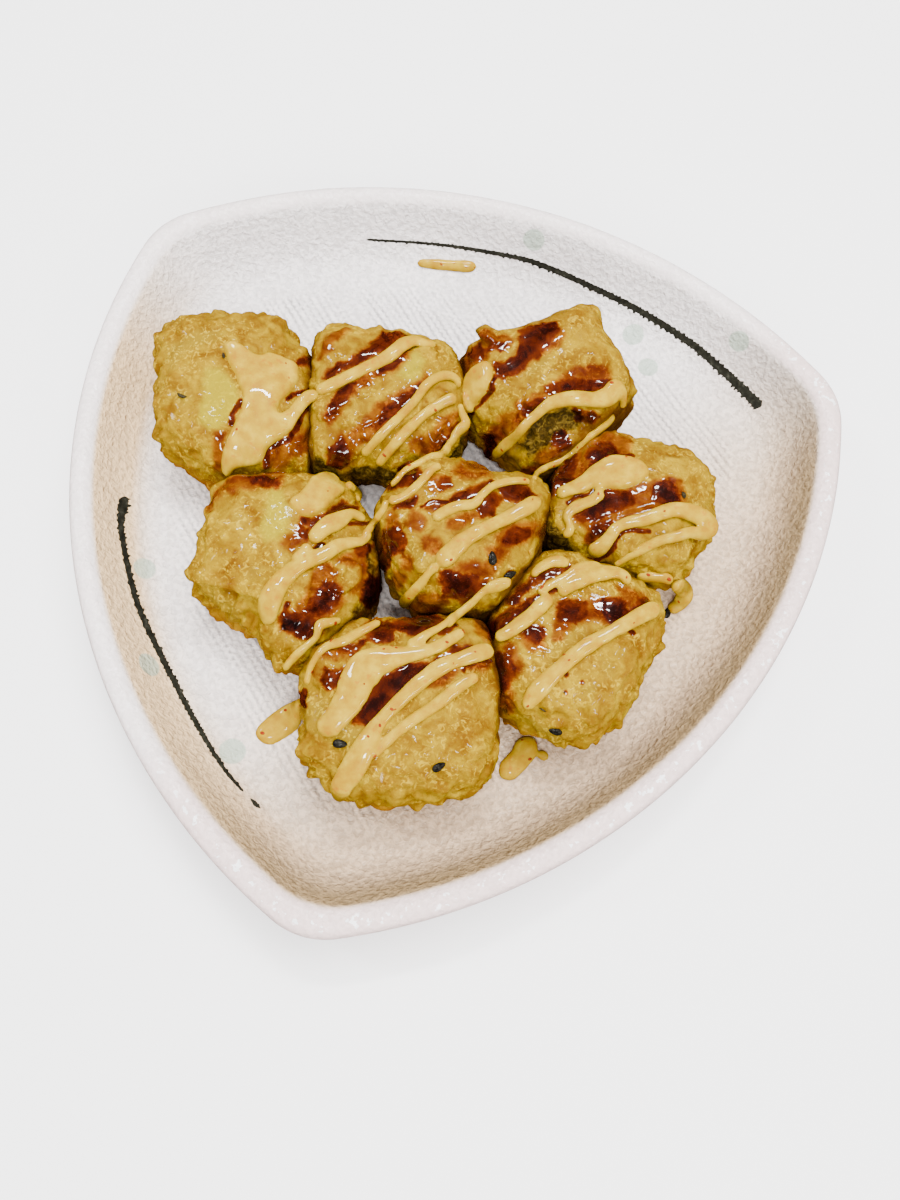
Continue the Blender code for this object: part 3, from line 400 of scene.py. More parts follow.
                  [(-19, -24.5), (-16.2, -21.8), (-12.5, -21.5), (-11.5, -25), (-11, -31), (-13, -31.5),
                   (-12.8, -26.5), (-14.5, -24.5), (-17.5, -25.3)]],
        "deep": [[(-48, -8.5), (-44, -8), (-41, -8), (-41, -10), (-44, -10.5), (-47, -9.8)],
                 [(-27.3, -14.9), (-25.3, -12.9), (-23.6, -10.4), (-22.4, -9.2), (-19.5, -10), (-22, -11.2),
                  (-25.3, -14.5), (-27.3, -17), (-28.6, -18.3), (-31.1, -17.8), (-31.5, -16.6),
                  (-29.4, -16.2)],
                 [(-14.9, -18.7), (-12.5, -18.7), (-12.5, -21), (-14.5, -21.6), (-16.2, -20.7)],
                 [(-20.3, -31.1), (-17.4, -31.5), (-16.2, -33.1), (-17, -36), (-18.2, -38.5),
                  (-20.3, -40.2), (-23.6, -39.8), (-22, -36.4), (-21, -33.6)],
                 [(-27.8, -41.4), (-24.4, -40.6), (-19.1, -41.4), (-17.8, -43.5), (-18.7, -44.7),
                  (-23.6, -46), (-26.9, -45.5), (-28, -43.9)],
                 [(-10.4, -27), (-7.1, -26.9), (-6.7, -31.1), (-8, -34), (-10.4, -33.1), (-10.8, -29)],
                 [(-31, -18.8), (-29.4, -19), (-28.8, -20.8), (-30.5, -21)]],
        "edges": [[(-26.5, -24.5, 1.4), (-24.5, -22.4, 2.4), (-23.2, -22.6, 1.4)],
                  [(-19.3, -14.5, 0.8), (-15.4, -13.3, 0.8)], [(-28, -41.5, 1), (-27.5, -38.5, 0.8)]],
        "yellow": [[(-42.2, -10.8), (-39.3, -10), (-36.9, -12.5), (-34.4, -15.8), (-33.5, -21.1),
                    (-35.2, -23.6), (-38.5, -25.3), (-40.6, -22.8), (-41.4, -18.7)]],
        "dark": [[(-13.3, -18.7), (-11.2, -21.1), (-9.6, -24.5), (-5, -26.9), (-5, -35.2), (-10.4, -39),
                  (-12.5, -36), (-10.4, -33.1), (-11.2, -26.1), (-12.5, -22.8)],
                 [(-27.5, -42.5), (-23.5, -42.5), (-23.5, -45.5), (-27.3, -45.8)]],
        "waxy": [[(-48, -19), (-45, -20), (-46, -23), (-49, -22)],
                 [(-40, -32), (-36, -31), (-37, -36), (-40, -35)],
                 [(-53, -42), (-45, -45.5), (-38, -47.5), (-38, -44), (-46, -41.5)]],
        "ridges": [([(-52, -38, 2), (-46, -39.5, 2), (-38, -37.5, 2), (-33, -38, 2)], 0.9),
                   ([(-50, -43, 5), (-42, -43.5, 6), (-34, -43, 5)], -1.5),
                   ([(-16, -27, 5), (-17, -30, 5)], 0.9), ([(-27, -31, 4), (-26, -36, 4)], 0.8)]},
    "bite_front": {
        "outline": [(-15.5, -65), (-18.5, -58), (-21, -50), (-19.5, -42), (-13, -38.3), (-6.5, -37.6),
                    (-3, -35.8), (2.4, -33.4), (12, -29), (20, -29.5), (26.5, -34), (30.5, -42), (32, -50),
                    (31, -58), (31, -66.5), (26, -72.5), (20, -75), (12, -78), (5, -80), (-3, -79),
                    (-9, -76.5), (-14.5, -72.5)],
        "top": 28, "square": 3.2, "lean": (90, 0.06),
        "amber": [[(-16.4, -49.6), (-15.2, -47.6), (-13.2, -46.8), (-10.4, -47.2), (-10, -48),
                   (-14.8, -49.2)],
                  [(18.4, -41.6), (20, -40.2), (23.6, -39.4), (24, -40.4), (23.6, -41.6), (18.4, -42.8)],
                  [(-17.6, -52), (-16.4, -51.5), (-15.5, -54), (-16.6, -55)],
                  [(11, -49), (12.3, -47.3), (15.5, -43.5), (17, -44), (13.6, -48.4)],
                  [(17.6, -30.6), (19.4, -32.9), (21, -34.2), (25, -34.8), (27, -35), (27, -31),
                   (23, -28.6), (18.5, -28.6)],
                  [(1, -49), (8, -45), (12, -44), (7, -52), (3, -57), (1.5, -62), (-3, -62.5)]],
        "deep": [[(-0.4, -49.6), (1.6, -48.8), (5.2, -45.2), (10, -44.4), (11.2, -44), (8.8, -47.2),
                  (7.2, -49.6), (4.8, -52.8), (2, -56), (1.6, -58), (0.8, -60.8), (-1.6, -62.4),
                  (-3.6, -62.4), (-2.4, -56.8), (-2, -53.6), (-1.6, -51.6)],
                 [(-12.8, -52.8), (-10.8, -51.2), (-10, -50.4), (-10, -54.8), (-11.6, -56), (-12.6, -54.8)],
                 [(21.6, -33.2), (24.6, -34.2), (27, -34.4), (27, -31.5), (23.8, -30.6)],
                 [(-6.8, -38), (-4, -37.6), (-1, -37.8), (-0.8, -40), (-2.4, -42), (-6, -41.6),
                  (-7.6, -40)],
                 [(-12, -46.8), (-9.5, -44.8), (-7.6, -43.2), (-8, -46), (-9.2, -46.8)],
                 [(1.7, -34.2), (4.7, -31.9), (10.5, -32.3), (10.5, -33.4), (8.6, -35), (5.1, -37.7),
                  (0.5, -37.7), (-2.6, -38.1), (-5.3, -39.2), (-3, -37.3), (0.1, -35.8)],
                 [(11.2, -42.8), (13.2, -40.4), (14.4, -38.8), (16.4, -38), (19.2, -37.4), (17.6, -39.2),
                  (15.6, -40), (14.4, -41.6)]],
        "edges": [[(-17, -58.8, 1.6), (-15.8, -61.5, 1.2)], [(6.8, -39.6, 0.7), (8, -38, 0.7)],
                  [(4.4, -43.2, 0.8), (5.2, -42.4, 0.8)], [(10.4, -36.4, 0.8), (13.2, -32.8, 0.9)],
                  [(18.2, -43.4, 0.7), (18.4, -41.6, 0.8), (20, -40.2, 0.8), (23.6, -39.2, 0.8)]],
        "yellow": [],
        "dark": [[(18.2, -30.6), (19.6, -32), (21.2, -32.6), (23.4, -30.8), (23, -28.8), (19, -28.6)]],
        "waxy": [[(-7.5, -62.5), (-2, -62.8), (-0.5, -65), (-1.5, -68.5), (-5, -69.5), (-6.5, -66.5)],
                 [(-15, -60), (-12, -58), (-10, -62), (-11, -68), (-14, -66)]],
        "ridges": [([(-19, -46, 3), (-15, -50, 3), (-13, -55, 3)], 0.8),
                   ([(27, -38, 3), (28.5, -46, 3)], 0.7)]},
    "bite_front_right": {
        "outline": [(25, -9), (32, -5), (41, -4), (50, -5), (57, -8.5), (62, -14), (63.8, -19.5), (63, -26),
                    (60.8, -32), (60, -38), (58, -44), (55, -49), (51, -53.5), (44, -55), (36, -53.5),
                    (29, -52.5), (23, -48), (19.5, -40), (17.5, -31), (19.5, -22), (22, -14)],
        "top": 27, "square": 3.1, "lean": (330, 0.07),
        "amber": [[(36.8, -21.6), (37.6, -20), (42, -18.6), (44.4, -17.2), (47.2, -16.4), (48.8, -15.2),
                   (52.4, -16), (54.4, -19.2), (53.6, -20.8), (49.6, -22.4), (46, -21.6), (42, -24),
                   (40.8, -25.2), (39.6, -29.2), (37.6, -29.8), (36.8, -25.6)],
                  [(50.8, -12.4), (52.8, -12), (55.6, -12.4), (59.2, -14.4), (58.4, -15.6), (56.8, -17.6),
                   (55.2, -18.4), (52.4, -15.2)],
                  [(29, -30), (30.4, -28.8), (34.4, -28.6), (35.2, -32), (34.4, -33.6), (33.2, -34.4),
                   (31.6, -34)],
                  [(26, -35.2), (27.6, -34), (29.2, -34.4), (30, -36.4), (31.6, -38.8), (30.4, -42),
                   (28.5, -38)],
                  [(28, -45), (30, -45), (32, -48), (31, -50.5), (28, -49.5)]],
        "deep": [[(32.2, -18.8), (36.4, -14), (40.8, -10), (44.4, -8.6), (40, -11.6), (37.6, -14.8),
                  (36, -16), (32.8, -19.6), (30.4, -24.4), (26.4, -27.2), (24, -32), (22, -34.4),
                  (20.8, -33.6), (23.2, -28), (27.6, -23.6), (31.2, -20)],
                 [(30, -14), (31.6, -12.8), (33.2, -11.6), (37.2, -10.2), (34.8, -12.8), (32.8, -13.8),
                  (28.8, -17.6), (27.2, -20.8), (25.6, -23.6), (24.4, -23.6), (28, -17.6)],
                 [(36.8, -21.6), (37.6, -20), (39.6, -19.2), (43, -18.8), (43.5, -21.5), (42, -24),
                  (38, -24.5)],
                 [(47.5, -16.3), (51.2, -15.2), (52.4, -16), (54.4, -19.2), (53.6, -20.8), (50.5, -22),
                  (48.3, -20.5)],
                 [(30.2, -29), (32.4, -28.4), (34.4, -28.6), (34.8, -30.4), (33.5, -32), (31.5, -31.5)],
                 [(24.4, -38.4), (25.6, -36.8), (28.5, -37.5), (29.6, -40), (29.6, -44), (28.8, -45.2),
                  (26.8, -45.2), (24.2, -43.2)],
                 [(55.8, -14.2), (58, -13.6), (59.2, -14.4), (56.8, -17.6), (55.5, -17)]],
        "edges": [[(42.4, -37.2, 0.8), (42.6, -37.6, 0.8)], [(43, -41.8, 0.7), (43.2, -42.1, 0.7)],
                  [(56, -22.6, 0.9), (56.3, -22.9, 0.9)], [(24, -39.5, 1), (23.5, -37, 0.8)],
                  [(46.5, -38, 0.4), (46.7, -38.3, 0.4)]],
        "yellow": [],
        "dark": [[(20, -40), (23, -36), (25, -40), (26, -46), (28, -50), (26, -54), (21, -48)],
                 [(15, -28), (21, -27), (22.5, -30.3), (23, -34), (20, -36), (16, -35)]],
        "waxy": [[(36, -27), (41, -26.5), (44.5, -24), (45, -26.5), (41, -31.5), (38, -34), (36, -31)],
                 [(50, -31), (53, -31.5), (53, -35), (50.5, -35)],
                 [(47, -38), (50, -38.5), (50, -42), (47, -41)],
                 [(33, -50), (40, -50), (46, -52), (44, -55), (36, -53)]],
        "ridges": [([(56, -28, 3), (54, -36, 3), (51, -46, 3)], 0.8)]},
}

# Where neighbours press together: the line between each two, as seen at CREASE_LEVEL
CREASES = [
    ("bite_back_left", "bite_back_middle", (-43.5, 29), (-34, -2)),
    ("bite_back_left", "bite_left", (-54, -12.5), (-33, -6.5)),
    ("bite_back_middle", "bite_left", (-34, -4), (-20, -3.7)),
    ("bite_back_middle", "bite_back_right", (-7, 43), (3.5, 18)),
    ("bite_back_middle", "bite_middle", (-14, -3), (1, 9.5)),
    ("bite_back_right", "bite_right", (24, 11), (38, 31)),
    ("bite_back_right", "bite_middle", (10, 11.5), (25, 10)),
    ("bite_right", "bite_middle", (27, 10), (29, -8)),
    ("bite_right", "bite_front_right", (29, -7.5), (63, -10)),
    ("bite_middle", "bite_front_right", (29, -10), (21, -29)),
    ("bite_middle", "bite_front", (0, -34), (18, -30.5)),
    ("bite_middle", "bite_left", (-14.5, -10), (-7, -28)),
    ("bite_left", "bite_front", (-8.5, -37), (-19.5, -54)),
    ("bite_front", "bite_front_right", (22.5, -33), (29, -50)),
]

# Mayonnaise on the plan: strands with x, y and width, and puddles as outlines
MAYO = {
    "mayo_back_left": {
        "strands": [[(-43.5, 6, 3), (-43, 10, 3), (-42.5, 13.5, 3.4), (-41, 17, 3.4), (-38.5, 19, 3.2)]],
        "puddles": [[(-68, 26), (-66, 28), (-62, 27.2), (-59, 25.8), (-57, 25.9), (-55, 27.3), (-50, 26.8),
                     (-47, 26), (-45.2, 23), (-45, 20), (-46, 16), (-47.5, 12.5), (-46.5, 10.5),
                     (-43.8, 13.5), (-41.5, 14), (-41.5, 8), (-43, 4), (-46, 0), (-46, -4), (-48, -6),
                     (-52, -8), (-53, -10.8), (-55.5, -9.5), (-57, -5), (-57.2, 0), (-57, 5), (-57, 10),
                     (-58, 13), (-61, 17), (-64, 20), (-66, 23)]]},
    "mayo_back_middle": {
        "strands": [
            [(-39.5, 19.3, 3.2), (-36.5, 22, 3.6), (-33, 25.6, 3.4), (-29.5, 29.3, 3.4), (-26, 32.8, 3.6),
             (-23.5, 36, 4), (-21.5, 39.5, 4.4), (-19, 41.8, 4), (-15.5, 42, 3.4), (-12.5, 42.6, 2.6)],
            [(-22, 4.7, 2.4), (-20.4, 8.6, 2.5), (-18.6, 13, 2.5), (-16.5, 17.2, 2.5), (-14.5, 21.5, 2.3),
             (-13, 25.5, 2.3), (-11.8, 29.5, 2.7), (-9.5, 32.8, 2.8), (-6.5, 34.3, 2.6), (-4.2, 33.5, 2),
             (-3.2, 31.3, 1.4)],
            [(-17.4, 3, 2.4), (-16.1, 7, 2.7), (-14.1, 12.3, 2.9), (-12, 16.8, 2.7), (-9.4, 21.6, 2.6),
             (-6.3, 25.6, 2.8), (-3, 28.6, 3.2)],
            [(-1.6, 27, 1.5), (-0.5, 24.5, 2), (1.5, 21.5, 3), (0.2, 19, 3), (-1, 15, 2.4), (-2, 11, 2.4),
             (-5, 9.2, 2.2), (-7.5, 6.5, 2), (-10, 4, 1.6), (-11, 1.5, 1.5), (-12.5, -1.5, 1.2)]],
        "puddles": []},
    "mayo_back_right": {
        "strands": [
            [(11, 14, 2.4), (13, 18, 3), (15.5, 22.5, 3.2), (17, 26, 2.6), (19, 29.5, 2.6),
             (21.5, 33.5, 3.2), (25, 36, 4), (29, 37.4, 4.6), (33, 38.2, 4.6), (36, 40, 5), (38, 43, 5.5),
             (40, 42, 3), (41, 38, 1.8)],
            [(39, 35.5, 2), (38, 33, 3), (36.5, 30.5, 2.8), (34, 27, 2.8), (31.5, 22.5, 2.6),
             (29, 18.5, 2.4), (25.5, 15.5, 2), (23.3, 13, 1.6), (22.7, 10.5, 1.4)]],
        "puddles": [[(1.5, 41.8), (4, 40.5), (5.3, 36.5), (5, 33), (3.5, 28.5), (2, 25), (-1, 25.5),
                     (-2.3, 29), (-2.6, 34), (-1.7, 38), (0, 40.5)]]},
    "mayo_right": {
        "strands": [
            [(29.5, 8, 3), (32, 10.2, 4), (35.5, 13, 4.4), (38.5, 17, 5), (42, 20, 6.4), (46, 20.5, 7),
             (49, 20, 5.5)],
            [(41, 12.5, 3), (39, 9.5, 3), (36.5, 7.3, 3), (34.5, 5.5, 3), (33.5, 3.2, 2.4), (34.5, 1, 2),
             (35, -0.5, 2.6), (34, -3, 2)],
            [(41, -5.5, 4), (43.5, -3, 4.2), (45.3, 0.5, 3.4), (46.5, 3.5, 3), (49.5, 6, 3), (53, 7.8, 3.4),
             (56.5, 10.5, 3.6), (60, 12.6, 4), (64, 13, 4.4), (68, 12, 5), (70, 10, 4.5), (68, 8, 3.5),
             (65, 7.5, 3), (62, 5.5, 2.8), (58.5, 3.5, 2.6), (55.5, 1, 2.6), (53, -1.5, 2.4),
             (50.8, -3.8, 1.8), (48, -7, 1.5)],
            [(54, -8.5, 3), (58, -7, 3.4), (61.5, -6.5, 3), (62.5, -8, 2.6)]],
        "puddles": [[(37, 13), (39.5, 20.5), (42.5, 23), (47, 24.3), (50, 23.5), (51.7, 21), (50.5, 18),
                     (48, 15.5), (44.5, 13.8), (41.8, 13), (40, 11.5)]]},
    "mayo_middle": {
        "strands": [
            [(5, -19, 4), (7, -15.5, 4.6), (9.5, -11, 4.2), (12.5, -7.5, 3.4), (16, -4.2, 3.2),
             (19, -1.5, 3.4), (22, 1.5, 3.8), (24.5, 4.5, 3.6), (25.5, 6, 2)],
            [(5, -19, 3), (3.5, -21.5, 2), (2.5, -24.5, 2.4), (1, -27.5, 2.6), (-0.2, -30.5, 3),
             (-0.5, -32, 2.6)],
            [(0.5, -7.5, 2.8), (3, -4.5, 3), (6, -2, 2.8), (9.5, -0.3, 2.4), (11, 3, 2), (13, 6, 2),
             (16, 8, 2), (19, 9.3, 2), (22, 9.8, 1.8)],
            [(-12, -5.5, 3), (-9.5, -4.5, 2.4), (-7, -1.5, 2.4), (-5, 2.5, 2.2), (-3.5, 6, 2.2),
             (-1.5, 8, 2)],
            [(-14.8, -19, 2), (-14.6, -16, 2), (-13.5, -12, 2), (-12.3, -8, 2), (-12.5, -5.5, 2)],
            [(24, -18, 2.4), (20.5, -20.3, 3.6), (18, -22.5, 2), (16, -26, 2), (14, -29, 2.4),
             (12.3, -31.5, 2.4), (11, -34, 2.6)],
            [(26.2, -9.5, 2.6), (26.8, -9.1, 2.6)], [(30.8, -8.5, 2.4), (31.2, -8.1, 2.4)]],
        "puddles": []},
    "mayo_left": {
        "strands": [
            [(-24, -4, 3), (-21.5, -5, 3), (-20, -6, 2.6), (-19.5, -8, 2)],
            [(-15.8, -12.5, 1.6), (-17.5, -12, 2.6), (-20, -11.8, 2.6), (-22.5, -14.5, 4.4),
             (-25, -17, 4.6), (-26.8, -20.5, 3.6), (-27.5, -22, 2.4)],
            [(-13.8, -15, 2), (-15, -18, 2.4), (-17.5, -19.3, 3), (-20.5, -21, 3.4), (-23, -24, 3.8),
             (-26.5, -27, 4), (-29.3, -30.5, 4.6), (-31.5, -35, 5), (-32, -40, 6), (-31.3, -43.5, 5.6),
             (-31.5, -45.5, 4)],
            [(-27.5, -22.5, 2.6), (-28.3, -25.5, 3), (-30, -28.5, 2.6)],
            [(-13.7, -39.3, 1.6), (-16, -40.5, 2.2), (-18.5, -42, 2.6), (-18.3, -45, 1.8), (-20, -48, 2),
             (-21.5, -50.5, 2.6), (-22.8, -53.5, 2), (-23, -55, 1.6)]],
        "puddles": [[(-33, -5), (-30, -2.3), (-26.5, -2.5), (-24.5, -4.5), (-23.2, -6), (-25, -9.5),
                     (-26.5, -13), (-29, -15.5), (-32, -16.3), (-35.5, -14.5), (-36, -12), (-34, -9)]]},
    "mayo_front": {
        "strands": [
            [(15.8, -33.7, 2.6), (13.3, -36.7, 2.8), (10.3, -39.7, 3), (7, -42, 3.2), (4, -43.5, 4),
             (0, -45.5, 6), (-3.5, -48, 8), (-5.5, -52, 8.5), (-6, -57, 7.4), (-7.5, -62, 6.4),
             (-9, -65.5, 5.8), (-9.5, -67.5, 4.4)],
            [(12, -31.8, 1.6), (9.8, -34.6, 1.8), (7.4, -37, 2.2), (5.5, -39.5, 2.8), (3.5, -41.5, 2.6)],
            [(-4.5, -37, 1.8), (-7, -39.5, 2.4), (-9.5, -42, 2.6), (-12, -44.5, 2.6), (-15, -46.5, 2.2),
             (-16.5, -49, 1.8), (-17.3, -53, 1.6), (-17, -57, 2)],
            [(24, -36.5, 4), (21, -38, 4), (17.5, -40.5, 3.6), (14.5, -42.5, 3.8), (11.5, -45.5, 3.8),
             (8.3, -50, 3.6), (5.6, -54.5, 3.4), (3.2, -59, 3.2), (1.6, -63, 4), (0.6, -68, 5.6),
             (-0.5, -73, 6), (-1.8, -77.5, 5), (-1.7, -80.5, 4)],
            [(22, -43.5, 2.6), (19, -46.5, 3), (16.5, -50, 3), (13.5, -54, 2.9), (10, -58, 2.8),
             (7, -62, 2.5), (4.5, -66, 2.6), (2.8, -69, 2.4)]],
        "puddles": []},
    "mayo_front_right": {
        "strands": [
            [(23.5, -33.5, 2.6), (26, -31.5, 3.4), (28.5, -28.5, 3.6), (31, -25, 3.6), (33, -21.5, 3.6),
             (34.5, -19, 3)],
            [(31, -19.5, 2), (33.5, -16.5, 2.2), (36.5, -13.5, 2.2), (39.5, -10, 2.6), (43, -8.3, 2.6),
             (45, -8.7, 2.6)],
            [(36.8, -18.5, 2.6), (37.5, -16, 3.4), (40.5, -13, 4), (44, -10.5, 4), (48, -8.8, 4),
             (51, -9, 3.4), (52.5, -11, 2)],
            [(34.8, -48.5, 2.4), (36, -45, 4.2), (38.5, -40, 4.4), (41, -36, 3.6), (44, -31.5, 3.6),
             (47, -28, 3.6), (50.5, -24.5, 3.4), (54, -21, 3.6), (57.5, -17.5, 4), (60, -15.5, 4),
             (61.8, -15.5, 2)],
            [(28.5, -15.5, 2), (30, -12.8, 2.6), (32.5, -10.3, 3.2), (35, -9.6, 3), (37, -10, 1.8)]],
        "puddles": []},
    "mayo_on_dish": {
        "strands": [
            [(-25, 67, 2), (-21, 67.8, 3), (-16, 68.8, 3.2), (-11, 70, 3.4), (-8.5, 70.8, 2.4)],
            [(38.5, -54.5, 3.5), (37.5, -57, 6), (36.5, -60, 6), (34.5, -63.5, 5.5), (33, -65.5, 4)],
            [(40, -57.5, 2.6), (43, -58.5, 2.6)],
            [(63, -7, 4), (66.5, -8.5, 5), (66, -12, 4), (63.5, -15, 3)]],
        "puddles": [[(-17, -60), (-15.7, -63), (-15.7, -67.5), (-18, -71), (-20.5, -73), (-23.5, -72.5),
                     (-25, -70.5), (-23.5, -67), (-20.5, -63)]]},
}

# Sesame seeds on the plan, with the turn of their long way in degrees
SEEDS = [(23, -16.5, 40), (17.8, -13.5, 110), (-5, -68.2, 10), (18.5, -67, 40), (43, -51.5, 160),
         (63.3, -15.5, 80)]
# Small dark scraps on the plan, among them three seeds nearly sunk in the batter: a line with widths
SCRAPS = [[(-74.5, 8.5, 0.5), (-73, 8, 0.9), (-71.5, 8.2, 0.5)], [(38, -47.3, 0.4), (40, -47.8, 0.5)],
          [(-67.2, 23.8, 0.5), (-66.6, 22.8, 0.8), (-66.2, 21.9, 0.5)],
          [(61, 18.3, 0.8), (61.7, 17.4, 1.2), (61.9, 16.4, 0.7)],
          [(41.6, -37.3, 0.4), (42.4, -37.8, 0.6)], [(42.8, -42.2, 0.5), (43.4, -41.8, 0.4)]]

# Brush strokes on the dish: a line with widths on the plan, and whether the frayed edge lies to the left of
# its run (1) or to the right (-1)
STROKES = [
    ([(-41, 70.5, 1.1), (-20, 75, 1.5), (0, 77, 2.2), (10, 76.5, 2.6), (25, 73.5, 2.8), (40, 69.5, 3.0),
      (55, 63.5, 3.3), (65, 57.5, 3.7), (72, 52.8, 4.1), (77, 49, 4.4)], -1),
    ([(-76.4, -23.2, 3.8), (-75.4, -27, 3.3), (-74.3, -31, 2.2), (-72, -35, 1.9), (-66, -44.5, 1.9),
      (-60, -52, 1.9), (-50, -62, 1.9), (-40, -71.5, 1.7), (-30, -80, 1.3), (-23, -84.5, 0.8)], 1),
    ([(-21, -85.5, 0.8), (-19.5, -86.3, 1.2), (-18, -87, 0.8)], 1),
]
# Pale dots on the dish: x, y and width on the plan
DOTS = [(5, 84.5, 6.4), (39, 61.5, 6.4), (45, 52.5, 6.0), (68, 68, 6.0), (-64.5, -40, 6.0),
        (-54.5, -62.5, 6.4), (-28.5, -76.5, 6.6)]


# Small geometry helpers

def unit(angles):
    return np.stack([np.cos(angles), np.sin(angles)], axis=-1)


def sphere(turns, climbs):
    """Unit vectors from turns about +Z and climbs above the level."""
    return np.stack([np.cos(climbs) * np.cos(turns), np.cos(climbs) * np.sin(turns), np.sin(climbs)], axis=-1)


def full_turn(count):
    """Evenly spaced angles all round."""
    return np.arange(count) * 2 * math.pi / count


def normalised(rows):
    """Each row scaled to length one."""
    return rows / np.maximum(np.linalg.norm(rows, axis=1), SLIVER)[:, None]


def ease(share):
    """Soft step from 0 to 1."""
    return share * share * (3 - 2 * share)


def noise_at(points, size):
    """Smooth noise from -1 to 1 at each point, with lumps of the given size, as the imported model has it."""
    return np.array([noise.noise(Vector(point) / size) for point in points])


def scramble(cells, seed):
    """A different whole number for each cell of a grid."""
    mixed = seed * SEED_PRIME
    for axis, prime in enumerate(CELL_PRIMES):
        mixed = mixed ^ cells[..., axis] * prime
    mixed = (mixed ^ (mixed >> 13)) * MIX_PRIME & 0x7FFFFFFF
    return mixed ^ (mixed >> 16)


def fine_noise(points, size, seed):
    """Smooth noise from about -1 to 1, worked out for all points at once."""
    places = points / size
    cells = np.floor(places).astype(np.int64)
    inner = places - cells
    fade = inner ** 3 * (inner * (inner * 6 - 15) + 10)
    total = np.zeros(len(points))
    for corner in np.ndindex(2, 2, 2):
        slopes = SLOPES[scramble(cells + corner, seed) % len(SLOPES)]
        weight = np.prod(np.where(corner, fade, 1 - fade), axis=1)
        total += weight * np.sum(slopes * (inner - corner), axis=1)
    return total * 1.7


def domes_at(points, size, seed):
    """Packed domes from -1 in the creases between them to 1 on top, their sizes and shapes uneven."""
    warp = np.stack([fine_noise(points, size * 1.4, seed + turn) for turn in (1, 2, 3)], axis=-1)
    places = points / size + warp * 0.35
    cells = np.floor(places).astype(np.int64)
    nearest = np.full(len(points), 9.0)
    for step in np.ndindex(3, 3, 3):
        cell = cells + np.array(step) - 1
        mark = scramble(cell, seed)
        middle = cell + np.stack([mark % 97, mark // 97 % 89, mark // 8633 % 83], axis=-1) / (97, 89, 83)
        nearest = np.minimum(nearest, np.sum((places - middle) ** 2, axis=1))
    return np.clip(1 - 3.0 * nearest, -1, 1)


def curve_point(before, start, stop, after, share):
    """Point on the smooth curve from start to stop that goes on through the points before and after."""
    return 0.5 * (2 * start + (stop - before) * share
                  + (2 * before - 5 * start + 4 * stop - after) * share ** 2
                  + (3 * start - before - 3 * stop + after) * share ** 3)


def smooth_route(route, step):
    """Points at even steps along a smooth curve through the route's points; every column is carried along."""
    knots = np.array(route, float)
    ends = np.vstack([2 * knots[0] - knots[1], knots, 2 * knots[-1] - knots[-2]])
    curve = []
    for index in range(len(knots) - 1):
        for share in np.linspace(0, 1, CURVE_STEPS, endpoint=False):
            curve.append(curve_point(*ends[index:index + 4], share))
    curve.append(knots[-1])
    curve = np.array(curve)
    run = np.concatenate([[0], np.cumsum(np.linalg.norm(np.diff(curve[:, :2], axis=0), axis=1))])
    count = max(3, round(run[-1] / step) + 1)
    places = np.linspace(0, run[-1], count)
    return np.stack([np.interp(places, run, column) for column in curve.T], axis=-1)


def line_depth(points, line):
    """How deep points lie inside a line with widths; negative outside it."""
    best = np.full(len(points), -1.0)
    knots = np.array(line) * MM
    for start, stop in zip(knots[:-1], knots[1:]):
        along = stop[:2] - start[:2]
        share = np.clip((points - start[:2]) @ along / (along @ along), 0, 1)
        away = np.linalg.norm(points - start[:2] - share[:, None] * along, axis=1)
        best = np.maximum(best, (start[2] + (stop[2] - start[2]) * share) / 2 - away)
    return best


def area_depth(points, outline):
    """How deep points lie inside a closed outline in metres; negative outside it."""
    nearest = np.full(len(points), 1.0)
    inside = np.zeros(len(points), bool)
    for start, stop in zip(outline, np.roll(outline, -1, axis=0)):
        along = stop - start
        share = np.clip((points - start) @ along / (along @ along), 0, 1)
        nearest = np.minimum(nearest, np.linalg.norm(points - start - share[:, None] * along, axis=1))
        spans = (start[1] > points[:, 1]) != (stop[1] > points[:, 1])
        rise = along[1] if abs(along[1]) > SLIVER else SLIVER
        crossing = start[0] + (points[:, 1] - start[1]) / rise * along[0]
        inside ^= spans & (points[:, 0] < crossing)
    return np.where(inside, nearest, -nearest)


def seen_on_level(points, level):
    """Where points show on a level plane when they are looked at from the eye."""
    spread = (EYE.z - level) / (EYE.z - points[:, 2])
    return np.array(EYE.xy) + (points[:, :2] - np.array(EYE.xy)) * spread[:, None]


# Meshes

def closed_pairs(count):
    """Each of a ring's points with the next one."""
    return [(index, (index + 1) % count) for index in range(count)]


def tube_faces(rings, sides, first=0):
    """Faces between rings that follow each other, each with the same number of points."""
    return [(base + side, base + after, base + sides + after, base + sides + side)
            for base in range(first, first + (rings - 1) * sides, sides)
            for side, after in closed_pairs(sides)]


def fill_ring(ring, inner):
    """Points and triangles that fill a ring, with the given points inside it; the ring's come first."""
    flat = [Vector(point) for point in np.vstack([ring, inner])]
    edges = closed_pairs(len(ring))
    points, _, faces, _, _, _ = geometry.delaunay_2d_cdt(flat, edges, [], INSIDE_TRIANGLES, WELD)
    return np.array([tuple(point) for point in points]), faces


def join_parts(parts):
    """Points and faces of several parts as one."""
    points = []
    faces = []
    for more_points, more_faces in parts:
        first = len(points)
        points.extend(more_points)
        faces.extend(tuple(index + first for index in face) for face in more_faces)
    return points, faces


def mesh_object(name, points, faces, smooth=True):
    mesh = bpy.data.meshes.new(name)
    mesh.from_pydata([tuple(point) for point in points], [], [tuple(face) for face in faces])
    mesh.validate()
    if smooth:
        mesh.shade_smooth()
    item = bpy.data.objects.new(name, mesh)
    bpy.context.scene.collection.objects.link(item)
    return item


